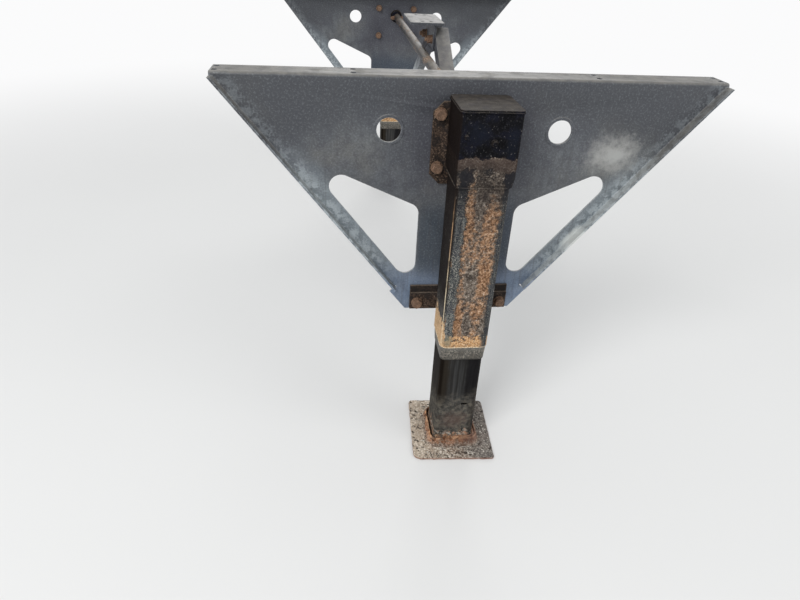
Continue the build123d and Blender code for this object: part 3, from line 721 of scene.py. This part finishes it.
def made_by(tree, name, start_mesh, coat, sharp_angle=180.0, **values):
    """A plain mesh piece on the gear, made by a recipe from a starting mesh."""
    start = new_piece(name, start_mesh, coat)
    maker = start.modifiers.new(tree.name, "NODES")
    maker.node_group = tree
    values["Material"] = coat.material
    for socket in tree.interface.items_tree:
        if socket.in_out == "INPUT" and socket.name in values:
            maker[socket.identifier] = values[socket.name]
    graph = bpy.context.evaluated_depsgraph_get()
    mesh = bpy.data.meshes.new_from_object(start.evaluated_get(graph), depsgraph=graph)
    start.modifiers.clear()
    start.data = mesh
    mesh.shade_smooth()
    mesh.set_sharp_from_angle(angle=math.radians(sharp_angle))
    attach(start, "gear")
    return start


def mesh_of(vertices, edges=(), faces=()):
    mesh = bpy.data.meshes.new("start")
    mesh.from_pydata([tuple(v) for v in vertices], list(edges), list(faces))
    return mesh


def jumbled(place, scale, amount):
    """An offset that differs from place to place."""
    sizes = {"Vector": place, "Scale": scale, "Detail": 2.0}
    noisy = add(place.tree, "ShaderNodeTexNoise", sizes, "Color")
    return noisy.vector("SUBTRACT", (0.5, 0.5, 0.5)).vector("MULTIPLY", amount)


def chance(seed, low, high):
    """A number between low and high for each point."""
    return add(seed.tree, "FunctionNodeRandomValue", {2: low, 3: high, "Seed": seed}, 1, data_type="FLOAT")


grit_recipe, given = recipe("grit", Density="Float", Size="Float", Seed="Int")
spread = add(grit_recipe, "GeometryNodeDistributePointsOnFaces",
             {"Mesh": given["Geometry"], "Density": given["Density"], "Seed": given["Seed"]}, "Points")
stone = add(grit_recipe, "GeometryNodeMeshIcoSphere", {"Radius": given["Size"], "Subdivisions": 2})
chips = jumbled(add(grit_recipe, "GeometryNodeInputPosition"), 420.0, (GRIT_CHIP, GRIT_CHIP, GRIT_CHIP))
stone = add(grit_recipe, "GeometryNodeSetPosition", {"Geometry": stone, "Offset": chips})
tumble = add(grit_recipe, "FunctionNodeRandomValue",
             {0: (0.0, 0.0, 0.0), 1: (FULL_TURN, FULL_TURN, FULL_TURN), "Seed": given["Seed"]},
             data_type="FLOAT_VECTOR")
growth = chance(given["Seed"], GRIT_SMALLEST, 1.0).maths("POWER", 2.0)
stones = add(grit_recipe, "GeometryNodeInstanceOnPoints",
             {"Points": spread, "Instance": stone, "Rotation": tumble, "Scale": growth})
complete(grit_recipe, stones, given["Material"])


def crushed_stone():
    coat = Finish("crushed_stone", "foot_steel", roughness=0.9)
    each = coat.lumps(0.006, 2.0, 0.5)
    coat.colour = each.shades((0.38, 66, 60, 54), (0.46, 114, 106, 97), (0.53, 162, 154, 144),
                              (0.62, 218, 212, 202))
    return coat.done(coat.lumps(0.0012, 3.0, 0.6), 0.0004)


stone_grey = crushed_stone()
for side, sign in SIDES.items():
    low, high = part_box(f"{side}_foot_plate")
    x0, y0, x1, y1 = low.x + GRIT_INSET, low.y + GRIT_INSET, high.x - GRIT_INSET, high.y - GRIT_INSET
    ring_low, ring_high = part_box(f"{side}_foot_ring")
    a0, b0, a1, b1 = ring_low.x, ring_low.y, ring_high.x, ring_high.y
    strips = [(x0, y0, x1, b0), (x0, b1, x1, y1), (x0, b0, a0, b1), (a1, b0, x1, b1)]
    top = high.z - GRIT_SUNK
    strip_corners = [((u0, v0), (u1, v0), (u1, v1), (u0, v1)) for u0, v0, u1, v1 in strips]
    strip_points = [(x, y, top) for corners in strip_corners for x, y in corners]
    strip_faces = [tuple(range(4 * k, 4 * k + 4)) for k in range(len(strips))]
    made_by(grit_recipe, f"{side}_shoe_grit", mesh_of(strip_points, faces=strip_faces), stone_grey,
            Density=GRIT_DENSITY, Size=GRIT_SIZE, Seed=11 + sign)


# Upper brackets, lower ears and brace clips: hot rolled plate, welded to the head, across the back of the
# tube and to the wing plate's inboard face. They were never galvanised, and are brown all over.
def brown_steel():
    coat = Finish("brown_steel", "rusty_steel", roughness=0.88, gloss=0.2)
    ear_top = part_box("curb_lower_ear")[1].z
    fine = coat.lumps(0.0045, 5.0, 0.75)
    coat.colour = fine.shades((0.40, 34, 28, 24), (0.47, 52, 42, 36), (0.53, 69, 56, 47), (0.60, 98, 81, 69))
    _, scale_height = coat.rusted(0.45, Patch=0.018, Cover=0.34, Grain=0.0045, Warmth=0.35)
    coat.lay(coat.lumps(0.022, 5.0, 0.62).between(0.50, 0.56, 0.0, 0.75), 32, 29, 29)
    # Painted shadow across the ear's upper bar
    upper_bar_shadow = coat.z.between(ear_top - 0.034, ear_top - 0.018, 0.0, 0.78)
    coat.lay(upper_bar_shadow * coat.z.between(ear_top + 0.06, ear_top + 0.02), 30, 27, 26)
    coat.lay(coat.use(edge_wear, Width=0.003, Grain=0.008) * 0.60, 134, 112, 94)
    coat.lay(coat.use(dust, Amount=0.7, Grain=0.02), 122, 110, 98)
    return coat.done(scale_height + fine * 0.5, 0.0008)


brown_plate = brown_steel()
for side in SIDES:
    dressed(f"{side}_upper_bracket", f"{side}_bracket_plate", brown_plate, edge=0.0010)
    dressed(f"{side}_lower_ear", f"{side}_ear_bar", brown_plate, edge=0.0012)
    dressed(f"{side}_brace_clip", f"{side}_clip_plate", brown_plate, edge=0.0010)


# Side braces and centre pad: a rolled angle from each clip up to a pad under the middle crossmember,
# galvanised like the wing plates.
for side in SIDES:
    dressed(f"{side}_side_brace", f"{side}_brace_angle", zinc_sheet, edge=0.0011)
dressed("centre_pad", "centre_pad_plate", zinc_sheet, edge=0.0010)


# Cross shaft and stubs: the tube that turns both legs' screws together, slipped over a bare stub at each
# leg. The tube is painted black like the legs.
def shaft_paint():
    coat = Finish("shaft_paint", "black_paint")
    turned = coat.place.vector("MULTIPLY", (1.0, 0.35, 1.0))
    fine = coat.lumps(0.004, 4.0, 0.7)
    bruise = lumps(turned, 0.03, 5.0, 0.6)
    coat.colour = bruise.shades((0.36, 20, 20, 22), (0.52, 30, 30, 33), (0.66, 44, 45, 48))
    coat.lay(fine.between(0.56, 0.70, 0.0, 0.5), 80, 78, 76)
    scale, scale_height = coat.rusted(1.0, Place=turned, Patch=0.03, Cover=0.40, Grain=0.004, Warmth=0.55)
    coat.lay(coat.use(edge_wear, Width=0.003, Grain=0.008) * 0.45, 116, 96, 82)
    coat.lay(coat.use(dust, Amount=0.75, Grain=0.04), 122, 114, 104)
    return coat.done(scale_height + fine * 0.3, 0.0010, roughness=scale.between(0.0, 1.0, 0.48, 0.88))


def bare_shaft_steel():
    coat = Finish("bare_shaft_steel", "bare_shaft", metallic=0.5)
    fine = coat.lumps(0.004, 5.0, 0.68)
    coat.colour = fine.shades((0.34, 52, 46, 41), (0.50, 92, 86, 78), (0.66, 134, 128, 118))
    scale, _ = coat.rusted(0.8, Patch=0.012, Cover=0.42, Grain=0.0035, Warmth=0.45)
    return coat.done(fine, 0.0006, 0.8, roughness=scale.between(0.0, 1.0, 0.38, 0.8))


shaft_coat = shaft_paint()
bare_steel = bare_shaft_steel()
dressed("cross_shaft", "cross_shaft_tube", shaft_coat, edge=0.0008)
for side in SIDES:
    dressed(f"{side}_drive_stub", f"{side}_stub_shaft", bare_steel, edge=0.0008)


# Gearbox: a cast steel housing welded to the road side head, with a domed cover bolted on. Both are painted
# black with the leg.
dressed("gearbox", "gearbox_case", shaft_coat, edge=0.0020, steps=3)
dressed("gearbox_cover", "gearbox_lid", shaft_coat, edge=0.0020, steps=3)


# Input shaft, pivot bolt and crank: the fork on the bare input shaft holds the crank's eye, so that the crank
# folds away when it is not in use. Bolt and crank are zinc plated, the grip bright from hands.
GRIP_LENGTH = 0.115


def zinc_plate():
    coat = Finish("zinc_plate", "zinc_crank", metallic=0.6)
    grip_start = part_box("crank")[1].y - GRIP_LENGTH
    fine = coat.lumps(0.003, 4.0, 0.7)
    broad = coat.lumps(0.03, 5.0, 0.6)
    coat.colour = broad.shades((0.36, 116, 115, 110), (0.52, 142, 142, 138), (0.66, 162, 162, 158))
    coat.lay(fine.between(0.54, 0.72, 0.0, 0.6), 90, 86, 80)
    scale, scale_colour, _ = coat.use(rust, Patch=0.022, Cover=0.36, Grain=0.003, Warmth=0.45)
    handled = coat.y.between(grip_start - 0.02, grip_start + 0.02)
    rusted = scale * 0.85 - handled * 0.60
    coat.lay(handled * 0.55, 178, 177, 172)
    coat.lay(rusted, scale_colour)
    return coat.done(fine, 0.0004, 0.7, roughness=rusted.between(0.0, 0.85, 0.36, 0.8))


zinc_coat = zinc_plate()
dressed("input_shaft", "input_fork", bare_steel, edge=0.0012, body="input")
dressed("crank_pivot_bolt", "pivot_bolt", zinc_coat, edge=0.0008, body="input")
dressed("crank", "crank_arm_rod", zinc_coat, edge=0.0014, body="crank_arm")


# Bolts: hexagon heads outboard and nuts with a thread end inboard, where each leg, brace and pad is bolted
# up, through the shaft's couplings and round the gearbox's cover. They are plain steel rusted brown, except
# for the two plugs in the curb side head, which are painted with it.
LEG_BOLT, COUPLING_BOLT, COVER_BOLT = 0.024, 0.016, 0.013
WASHER_THICK = 0.0026
CHAMFER_SLOPE = 1.6
THREAD_DEPTH = 0.035
# Shares of the size across flats
PITCH, STUD_RADIUS, CHAMFER_RADIUS, WASHER_RADIUS, SOFT_CORNER = 0.085, 0.333, 0.460, 0.62, 0.014
HEAD_TALL, NUT_TALL, STUD_OUT, STUD_SUNK = 0.54, 0.66, 0.36, 0.04

fastener, given = recipe("hexagon fastener", Direction="Vector", Across="Float", Tall="Float", Washer="Float",
                         Stud="Float", Start="Float", Seed="Int")


def moved_up(geometry, height):
    up = add(fastener, "ShaderNodeCombineXYZ", {"Z": height})
    return add(fastener, "GeometryNodeTransform", {"Geometry": geometry, "Translation": up})


across, tall = given["Across"], given["Tall"]
at = add(fastener, "GeometryNodeInputPosition")
at_x, at_y, at_z = map(Reading, add(fastener, "ShaderNodeSeparateXYZ", {0: at}).socket.node.outputs)
# A fine cylinder drawn in to six flats, with the round chamfer that turning leaves on their corners
from_flat = (at_y.maths("ARCTAN2", at_x) + 2 * math.pi).maths("MODULO", math.pi / 3) - math.pi / 6
flat = across * 0.5 / from_flat.maths("COSINE")
chamfer = across * CHAMFER_RADIUS + (tall * 0.5 - at_z) * CHAMFER_SLOPE
radius = flat.maths("MINIMUM", chamfer)
shaped = add(fastener, "ShaderNodeCombineXYZ", {"X": at_x * radius, "Y": at_y * radius, "Z": at_z})
hexagon = add(fastener, "GeometryNodeMeshCylinder",
              {"Vertices": 48, "Side Segments": 8, "Radius": 1.0, "Depth": tall})
hexagon = add(fastener, "GeometryNodeSetPosition", {"Geometry": hexagon, "Position": shaped})
hexagon = moved_up(hexagon, tall * 0.5 + WASHER_THICK)
washer = add(fastener, "GeometryNodeMeshCylinder",
             {"Vertices": 36, "Radius": given["Washer"], "Depth": WASHER_THICK})
washer = moved_up(washer, WASHER_THICK / 2)
stud = add(fastener, "GeometryNodeMeshCylinder",
           {"Vertices": 24, "Side Segments": 26, "Radius": across * STUD_RADIUS, "Depth": given["Stud"]})
turns = at_z / (across * PITCH)
groove = ((turns * (2 * math.pi)).maths("SINE") - 1.0) * THREAD_DEPTH
thread = add(fastener, "ShaderNodeCombineXYZ", {"X": at_x * groove, "Y": at_y * groove})
stud = add(fastener, "GeometryNodeSetPosition", {"Geometry": stud, "Offset": thread})
stud = moved_up(stud, given["Stud"] * 0.5 + given["Start"])
whole = add(fastener, "GeometryNodeJoinGeometry", {"Geometry": [stud, washer, hexagon]})
aim = add(fastener, "FunctionNodeAlignRotationToVector", {"Vector": given["Direction"]}, axis="Z")
angle = chance(given["Seed"], 0.0, FULL_TURN)
spin = add(fastener, "FunctionNodeAxisAngleToRotation", {"Axis": (0.0, 0.0, 1.0), "Angle": angle})
turned = {"Rotation": aim, "Rotate By": spin}
aim = add(fastener, "FunctionNodeRotateRotation", turned, rotation_space="LOCAL")
placed = add(fastener, "GeometryNodeInstanceOnPoints",
             {"Points": given["Geometry"], "Instance": whole, "Rotation": aim})
complete(fastener, placed, given["Material"])


def bolt_rust():
    coat = Finish("bolt_rust", "rusty_steel", roughness=0.82)
    fine = coat.lumps(0.0030, 4.0, 0.65)
    coat.colour = fine.shades((0.38, 90, 68, 53), (0.50, 113, 88, 71), (0.62, 136, 109, 89))
    coat.lay(coat.lumps(0.014, 4.0, 0.6).between(0.46, 0.60, 0.0, 0.35), 74, 62, 54)
    coat.lay(coat.use(edge_wear, Width=0.0014, Grain=0.024) * 0.85, 176, 146, 118)
    return coat.done(fine, 0.00010)


rusty_bolt = bolt_rust()


def bolt_row(name, places, direction, across, seed, nut=False, washer=0.0, coat=rusty_bolt):
    """Heads, or nuts with the bolt's end, of one size at these places, standing out in one direction."""
    tall, stud, start = across * HEAD_TALL, WASHER_THICK * 0.5, 0.0
    if nut:
        tall, stud = across * NUT_TALL, across * STUD_OUT
        start = tall + WASHER_THICK - across * STUD_SUNK
    row = made_by(fastener, name, mesh_of(places), coat, sharp_angle=18.0, Direction=direction, Across=across,
                  Tall=tall, Washer=washer or across * WASHER_RADIUS, Stud=stud, Start=start, Seed=seed)
    edge = row.modifiers.new("softened corners", "BEVEL")
    edge.width = across * SOFT_CORNER
    edge.segments = 1
    edge.limit_method = "ANGLE"
    edge.angle_limit = SHARP_FROM


def faces_of(node, sign):
    """The y of a node's outboard and inboard faces."""
    low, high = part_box(node)
    return (low.y, high.y) if sign < 0 else (high.y, low.y)


FRONT, REAR, OUT_ROAD, OUT_CURB = (1.0, 0.0, 0.0), (-1.0, 0.0, 0.0), (0.0, 1.0, 0.0), (0.0, -1.0, 0.0)
EAR_BOLT_IN, EAR_BOLT_UP = 0.019, 0.021
BRACKET_BOLT_IN, BRACKET_BOLT_UP, BRACKET_BOLT_DOWN = 0.017, 0.042, 0.028
SHEET_WALL = 0.005
CLIP_BOLT_OUT = 0.048
PAD_BOLT_Y, PAD_BOLT_Z = 0.070, -0.060
BRACE_FACE, TAB_BACK = 0.039, 0.026
COUPLING_IN, COUPLING_SUNK = 0.025, 0.0012

for side, sign in SIDES.items():
    outboard, inboard = (OUT_CURB, OUT_ROAD) if sign < 0 else (OUT_ROAD, OUT_CURB)
    ear_low, ear_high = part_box(f"{side}_lower_ear")
    bracket_low, bracket_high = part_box(f"{side}_upper_bracket")
    ear_face, _ = faces_of(f"{side}_lower_ear", sign)
    bracket_face, bracket_back = faces_of(f"{side}_upper_bracket", sign)
    sheet_back = bracket_back - sign * SHEET_WALL
    ear_places = [(x, ear_low.z + EAR_BOLT_UP) for x in (ear_low.x + EAR_BOLT_IN, ear_high.x - EAR_BOLT_IN)]
    bracket_x = (bracket_low.x + BRACKET_BOLT_IN, bracket_high.x - BRACKET_BOLT_IN)
    bracket_z = (bracket_low.z + BRACKET_BOLT_UP, bracket_high.z - BRACKET_BOLT_DOWN)
    bracket_places = [(x, z) for x in bracket_x for z in bracket_z]
    head_places = [(x, ear_face, z) for x, z in ear_places]
    bolt_row(f"{side}_ear_bolts", head_places, outboard, LEG_BOLT, seed=3)
    head_places = [(x, bracket_face, z) for x, z in bracket_places]
    bolt_row(f"{side}_bracket_bolts", head_places, outboard, LEG_BOLT, seed=5)
    nut_places = [(x, sheet_back, z) for x, z in ear_places + bracket_places]
    bolt_row(f"{side}_leg_nuts", nut_places, inboard, LEG_BOLT, seed=7, nut=True)
    # Through the clip's tab and the brace, and through the pad's web and the brace
    clip_low, clip_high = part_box(f"{side}_brace_clip")
    clip_bolt = (sheet_back - sign * CLIP_BOLT_OUT, (clip_low.z + clip_high.z) / 2)
    brace_bolts = [clip_bolt, (sign * PAD_BOLT_Y, PAD_BOLT_Z)]
    bolt_row(f"{side}_brace_bolts", [(BRACE_FACE, *bolt) for bolt in brace_bolts], FRONT, LEG_BOLT, seed=9)
    nut_places = [(TAB_BACK, *bolt) for bolt in brace_bolts]
    bolt_row(f"{side}_brace_nuts", nut_places, REAR, LEG_BOLT, seed=13, nut=True)
    # The coupling bolt, halfway along the shaft's overlap on the stub
    shaft_low, shaft_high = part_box("cross_shaft")
    coupling = (faces_of("cross_shaft", sign)[0] - sign * COUPLING_IN, (shaft_low.z + shaft_high.z) / 2)
    seat = shaft_high.x - COUPLING_SUNK
    bolt_row(f"{side}_coupling_bolt", [(seat, *coupling)], FRONT, COUPLING_BOLT, seed=17)
    bolt_row(f"{side}_coupling_nut", [(-seat, *coupling)], REAR, COUPLING_BOLT, seed=19, nut=True)

# Round the gearbox cover's rim, at its corners and between them, and an oil plug on its dome
RIM_IN = 0.0055
CORNER_IN = 0.0078
SIDE_BOLT_Z = 0.030
RIM_WASHER = 0.0068
DOME_FACE = 1.2080
PLUG_X, PLUG_UP, PLUG_ACROSS = 0.026, 0.042, 0.017
case_low, case_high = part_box("gearbox")
rim_half = (case_high.x - RIM_IN, (case_high.z - case_low.z) / 2 - RIM_IN)
rim_centre = (case_low.z + case_high.z) / 2
corner_bolt = (rim_half[0] - CORNER_IN, rim_half[1] - CORNER_IN)
rim_bolts = [(sx * corner_bolt[0], sz * corner_bolt[1]) for sx in (-1, 1) for sz in (-1, 1)]
rim_bolts += [(sx * rim_half[0], sz * SIDE_BOLT_Z) for sx in (-1, 1) for sz in (-1, 1)]
rim_bolts += [(0.0, sz * rim_half[1]) for sz in (-1, 1)]
rim_places = [(x, case_high.y, rim_centre + z) for x, z in rim_bolts]
bolt_row("cover_bolts", rim_places, OUT_ROAD, COVER_BOLT, seed=23, washer=RIM_WASHER)
bolt_row("cover_oil_plug", [(PLUG_X, DOME_FACE, rim_centre + PLUG_UP)], OUT_ROAD, PLUG_ACROSS, seed=29)

# Plugs on the curb side head's face: along x, above the ground, size across flats, washer's radius, seed
HEAD_PLUGS = {
    "head_oil_plug": (0.009, 0.915, 0.012, 0.0085, 31),
    "head_grease_plug": (-0.053, 0.928, 0.008, 0.0055, 37),
}
head_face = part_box("curb_gear_head")[0].y
for name, (x, up, across, washer, seed) in HEAD_PLUGS.items():
    bolt_row(name, [(x, head_face, GROUND + up)], OUT_CURB, across, seed, washer=washer, coat=leg_coat)


# Weld beads: steel laid by hand along every joint, rippled and a little uneven. Each has the paint or rust
# of the pieces that it joins.
BEAD_STEP = 0.0016
ROUTE_STEP = 0.006
THICKNESS, RIPPLED, UNSTEADY, RIPPLE_WANDER = 0.72, 0.24, 0.9, 5.0
RIPPLE_TO_RADIUS = 1.1
bead_recipe, given = recipe("weld bead", Radius="Float", Ripple="Float", Uneven="Float", Seed="Float")
route = add(bead_recipe, "GeometryNodeMeshToCurve", {"Mesh": given["Geometry"]})
route = add(bead_recipe, "GeometryNodeResampleCurve", {"Curve": route, "Length": BEAD_STEP}, mode="LENGTH")
here = add(bead_recipe, "GeometryNodeInputPosition")
unsteady = add(bead_recipe, "ShaderNodeTexNoise",
               {"Vector": here.vector("ADD", given["Seed"]), "Scale": 90.0, "Detail": 3.0})
beat = add(bead_recipe, "GeometryNodeSplineParameter", out="Length") / given["Ripple"] * math.pi
ripple = abs((beat + unsteady * RIPPLE_WANDER).maths("SINE"))
swell = ripple * RIPPLED + THICKNESS + (unsteady - 0.5) * UNSTEADY
section = add(bead_recipe, "GeometryNodeCurvePrimitiveCircle", {"Resolution": 10, "Radius": given["Radius"]})
bead = add(bead_recipe, "GeometryNodeCurveToMesh",
           {"Curve": route, "Profile Curve": section, "Scale": swell, "Fill Caps": True})
jitter = jumbled(here, 260.0, given["Uneven"])
bead = add(bead_recipe, "GeometryNodeSetPosition", {"Geometry": bead, "Offset": jitter})
complete(bead_recipe, bead, given["Material"])


def welded(name, routes, coat, radius, seed, uneven=0.0012):
    """One weld piece of beads along these routes: each is a list of points and whether it closes."""
    points, links = [], []
    for route_points, closed in routes:
        first = len(points)
        points += route_points
        links += [(first + k, first + k + 1) for k in range(len(route_points) - 1)]
        if closed:
            links.append((len(points) - 1, first))
    made_by(bead_recipe, name, mesh_of(points, links), coat, Radius=radius, Ripple=radius * RIPPLE_TO_RADIUS,
            Uneven=uneven, Seed=seed)


def loop_round(centre, width, corner, height):
    """A closed level route round a rounded square."""
    outline = round_outline(width, width, corner, ROUTE_STEP)
    return [(centre.x + p.x, centre.y + p.y, height) for p, _ in outline], True


def straight(start, end):
    start, end = Vector(start), Vector(end)
    count = max(2, round((end - start).length / ROUTE_STEP))
    return [tuple(start.lerp(end, k / count)) for k in range(count + 1)], False


def lip_metal():
    """Metal rubbed bright and flecked with rust, at the tube's mouth."""
    coat = Finish("lip_metal", "worn_collar")
    fine = coat.lumps(0.004, 4.0, 0.7)
    coat.colour = fine.shades((0.36, 150, 118, 84), (0.48, 206, 182, 146), (0.60, 232, 218, 196))
    coat.lay(coat.x.between(0.030, 0.062, 0.0, 0.6), 120, 108, 104)
    return coat.done(fine, 0.0006)


bright_lip = lip_metal()
HEAD_CORNER, RING_CORNER, CASE_CORNER = 0.010, 0.030, 0.022
# How far a bead's middle lies outside the piece that it runs round or along, or inside where less than 0
HEAD_FOOT_OUT, HEAD_FOOT_DOWN = 0.0015, 0.0008
CAP_OUT, CAP_UP = 0.0002, 0.0002
BRACKET_IN, BRACKET_OUT, BRACKET_SKIP = 0.0045, 0.0010, 0.048
EAR_IN, EAR_OUT, EAR_TALL = 0.0085, 0.0012, 0.050
MOUTH_IN, MOUTH_UP = 0.0006, 0.0004
RING_IN, RING_UP = 0.0005, 0.0006
TACK_OUT, TACK_DOWN = 0.0020, 0.0012
RING_BASE = 0.0125
CLIP_OUT, TAB_OUT, TAB_SIDES = 0.0008, 0.0068, (0.0255, 0.0345)
WEB_DOWN, WEB_HALF = 0.0088, 0.108
CASE_WIDE, CASE_IN, CASE_OUT = 0.124, 0.020, 0.0008

for side, sign in SIDES.items():
    centre = leg_centre(side)
    tube_low, tube_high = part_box(f"{side}_outer_tube")
    head_low, head_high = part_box(f"{side}_gear_head")
    bracket_low, bracket_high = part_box(f"{side}_upper_bracket")
    ear_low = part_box(f"{side}_lower_ear")[0]
    tube_width = tube_high.x - tube_low.x
    head_width = head_high.x - head_low.x
    head_routes = [
        loop_round(centre, tube_width + 2 * HEAD_FOOT_OUT, OUTER_CORNER, head_low.z - HEAD_FOOT_DOWN),
        loop_round(centre, head_width + 2 * CAP_OUT, HEAD_CORNER, head_high.z + CAP_UP),
    ]
    y = faces_of(f"{side}_upper_bracket", sign)[0] + sign * BRACKET_OUT
    groove_x = head_high.x - BRACKET_IN
    z = bracket_low.z + BRACKET_SKIP
    head_routes += [straight((x, y, z), (x, y, bracket_high.z)) for x in (-groove_x, groove_x)]
    welded(f"{side}_head_welds", head_routes, leg_coat, radius=0.0026, seed=1.0)
    y = faces_of(f"{side}_lower_ear", sign)[0] + sign * EAR_OUT
    ear_x = tube_high.x - EAR_IN
    ear_routes = [straight((x, y, ear_low.z), (x, y, ear_low.z + EAR_TALL)) for x in (-ear_x, ear_x)]
    welded(f"{side}_ear_welds", ear_routes, brown_plate, radius=0.0042, seed=2.0)
    mouth = loop_round(centre, tube_width - 2 * MOUTH_IN, OUTER_CORNER, tube_low.z + MOUTH_UP)
    welded(f"{side}_mouth_weld", [mouth], bright_lip, radius=0.0017, seed=3.0, uneven=0.0008)
    # The shoe: a fillet round the ring's foot, and an old tack that fills the gap between ring and tube
    ring_low, ring_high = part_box(f"{side}_foot_ring")
    ring_centre = (ring_low + ring_high) / 2
    ring_width = ring_high.x - ring_low.x
    foot_loop = loop_round(ring_centre, ring_width - 2 * RING_IN, RING_CORNER, ring_low.z + RING_UP)
    welded(f"{side}_ring_weld", [foot_loop], ring_coat, radius=0.0034, seed=4.0, uneven=0.0022)
    inner_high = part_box(f"{side}_inner_tube")[1]
    y = faces_of(f"{side}_inner_tube", sign)[0] + sign * TACK_OUT
    z = ring_high.z - TACK_DOWN
    tack = [(-0.034, y, z - 0.003), (0.0, y, z), (0.040, y, z + 0.003)]
    tack.append((inner_high.x, y - sign * 0.006, z + 0.001))
    welded(f"{side}_shoe_tack", [(tack, False)], ring_coat, radius=0.0042, seed=5.0, uneven=0.0040)
    x = (inner_high.x + ring_high.x - RING_BASE) / 2
    fill = [(x - 0.004, y - sign * 0.004, z - 0.003), (x, y - sign * 0.016, z - 0.004)]
    fill.append((x, y - sign * 0.100, z - 0.007))
    welded(f"{side}_shoe_fill", [(fill, False)], ring_coat, radius=0.0068, seed=9.0, uneven=0.0040)
    # The clip on the wing plate's inboard face
    clip_low, clip_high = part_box(f"{side}_brace_clip")
    base_y = faces_of(f"{side}_brace_clip", sign)[0]
    y = base_y - sign * CLIP_OUT
    corners = [(clip_low.x, y, clip_low.z), (clip_high.x, y, clip_low.z), (clip_high.x, y, clip_high.z),
               (clip_low.x, y, clip_high.z)]
    clip_routes = [straight(a, b) for a, b in zip(corners, corners[1:] + corners[:1])]
    y = base_y - sign * TAB_OUT
    clip_routes += [straight((x, y, clip_low.z), (x, y, clip_high.z)) for x in TAB_SIDES]
    welded(f"{side}_clip_welds", clip_routes, brown_plate, radius=0.0030, seed=6.0)

web_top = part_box("centre_pad")[1].z - WEB_DOWN
pad_routes = [straight((x, -WEB_HALF, web_top), (x, WEB_HALF, web_top)) for x in TAB_SIDES]
welded("pad_welds", pad_routes, zinc_sheet, radius=0.0030, seed=7.0)
case_outline = round_outline(CASE_WIDE, case_high.z - case_low.z - CASE_IN, CASE_CORNER, ROUTE_STEP)
case_middle = (case_low + case_high) / 2
case_route = [(p.x, case_low.y + CASE_OUT, case_middle.z + p.y) for p, _ in case_outline]
welded("gearbox_weld", [(case_route, True)], shaft_coat, radius=0.0030, seed=8.0)


# Where it stands: a pale floor that runs out into white, lit softly from the left. The camera has the
# photograph's height, heading, tilt, lean and lens.
FLOOR_HALF = 60.0
WHITE_FROM, WHITE_BY = 1.6, 5.0
WHITE = (0.965, 0.965, 0.97, 1.0)
SKY_BLUE = (0.97, 0.985, 1.0, 1.0)
SKY_LIGHT = 0.62


def backdrop_rays(tree):
    """1 for the rays that show a backdrop: the camera's, and those that shiny or clear things send on."""
    camera_rays = add(tree, "ShaderNodeLightPath", out="Is Camera Ray")
    rays = camera_rays.socket.node.outputs
    return camera_rays | Reading(rays["Is Glossy Ray"]) | Reading(rays["Is Transmission Ray"])


def pale_floor():
    coat = Finish("pale_floor", roughness=0.95, gloss=0.1)
    cloud = coat.lumps(1.5, 2.0, 0.5)
    put(coat.shader["Base Color"], mix(cloud, paint(224, 224, 223), paint(229, 229, 228)))
    reach = coat.place.vector("MULTIPLY", (1.0, 1.0, 0.0)).vector("LENGTH", out="Value")
    white = add(coat.tree, "ShaderNodeEmission", {"Color": WHITE, "Strength": 1.0})
    blend = reach.between(WHITE_FROM, WHITE_BY) * backdrop_rays(coat.tree)
    lit = Reading(coat.tree.nodes["Principled BSDF"].outputs[0])
    both = add(coat.tree, "ShaderNodeMixShader", {0: blend, 1: lit, 2: white})
    put(coat.tree.nodes["Material Output"].inputs["Surface"], both)
    return coat


signs = ((-1, -1), (1, -1), (1, 1), (-1, 1))
floor_corners = [(sx * FLOOR_HALF, sy * FLOOR_HALF, GROUND) for sx, sy in signs]
floor = new_piece("floor", mesh_of(floor_corners, faces=[(0, 1, 2, 3)]), pale_floor())
floor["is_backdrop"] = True

sky = bpy.data.worlds.new("pale_sky")
bpy.context.scene.world = sky
sky.use_nodes = True
backdrop = sky.node_tree.nodes["Background"].inputs
seen = backdrop_rays(sky.node_tree)
put(backdrop["Color"], mix(seen, SKY_BLUE, WHITE))
put(backdrop["Strength"], seen.between(0.0, 1.0, SKY_LIGHT, 1.0))

LAMPS_AIM = Vector((0.0, -0.6, -0.5))
for name, place, size, power in (
    ("key", (-3.0, -4.6, 3.8), 2.6, 210.0),
    ("fill", (4.2, -3.6, 2.0), 3.0, 60.0),
    ("back", (1.0, 5.5, 3.0), 3.0, 110.0),
):
    lamp = bpy.data.lights.new(name, "AREA")
    lamp.size = size
    lamp.energy = power
    holder = bpy.data.objects.new(name, lamp)
    bpy.context.collection.objects.link(holder)
    holder.location = place
    holder.rotation_euler = (LAMPS_AIM - Vector(place)).to_track_quat("-Z", "Y").to_euler()

EYE = Vector((-0.3409, -2.3775, 0.288))
HEADING, DOWNWARD, LEAN = 0.1294, 0.5592, 0.0523
LENS, SENSOR = 27.04, 36.0
ahead_x, ahead_y = math.sin(HEADING), math.cos(HEADING)
forward = Vector((ahead_x * math.cos(DOWNWARD), ahead_y * math.cos(DOWNWARD), -math.sin(DOWNWARD)))
level = Vector((ahead_y, -ahead_x, 0.0))
above = level.cross(forward)
right = level * math.cos(LEAN) + above * math.sin(LEAN)
top = above * math.cos(LEAN) - level * math.sin(LEAN)
eye = bpy.data.cameras.new("eye")
eye.lens = LENS
eye.sensor_fit = "HORIZONTAL"
eye.sensor_width = SENSOR
eye.clip_end = 200.0
camera = bpy.data.objects.new("eye", eye)
bpy.context.collection.objects.link(camera)
camera.matrix_world = Matrix.Translation(EYE) @ Matrix((right, top, -forward)).transposed().to_4x4()
bpy.context.scene.camera = camera
bpy.context.scene.view_settings.view_transform = "Standard"

low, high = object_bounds()
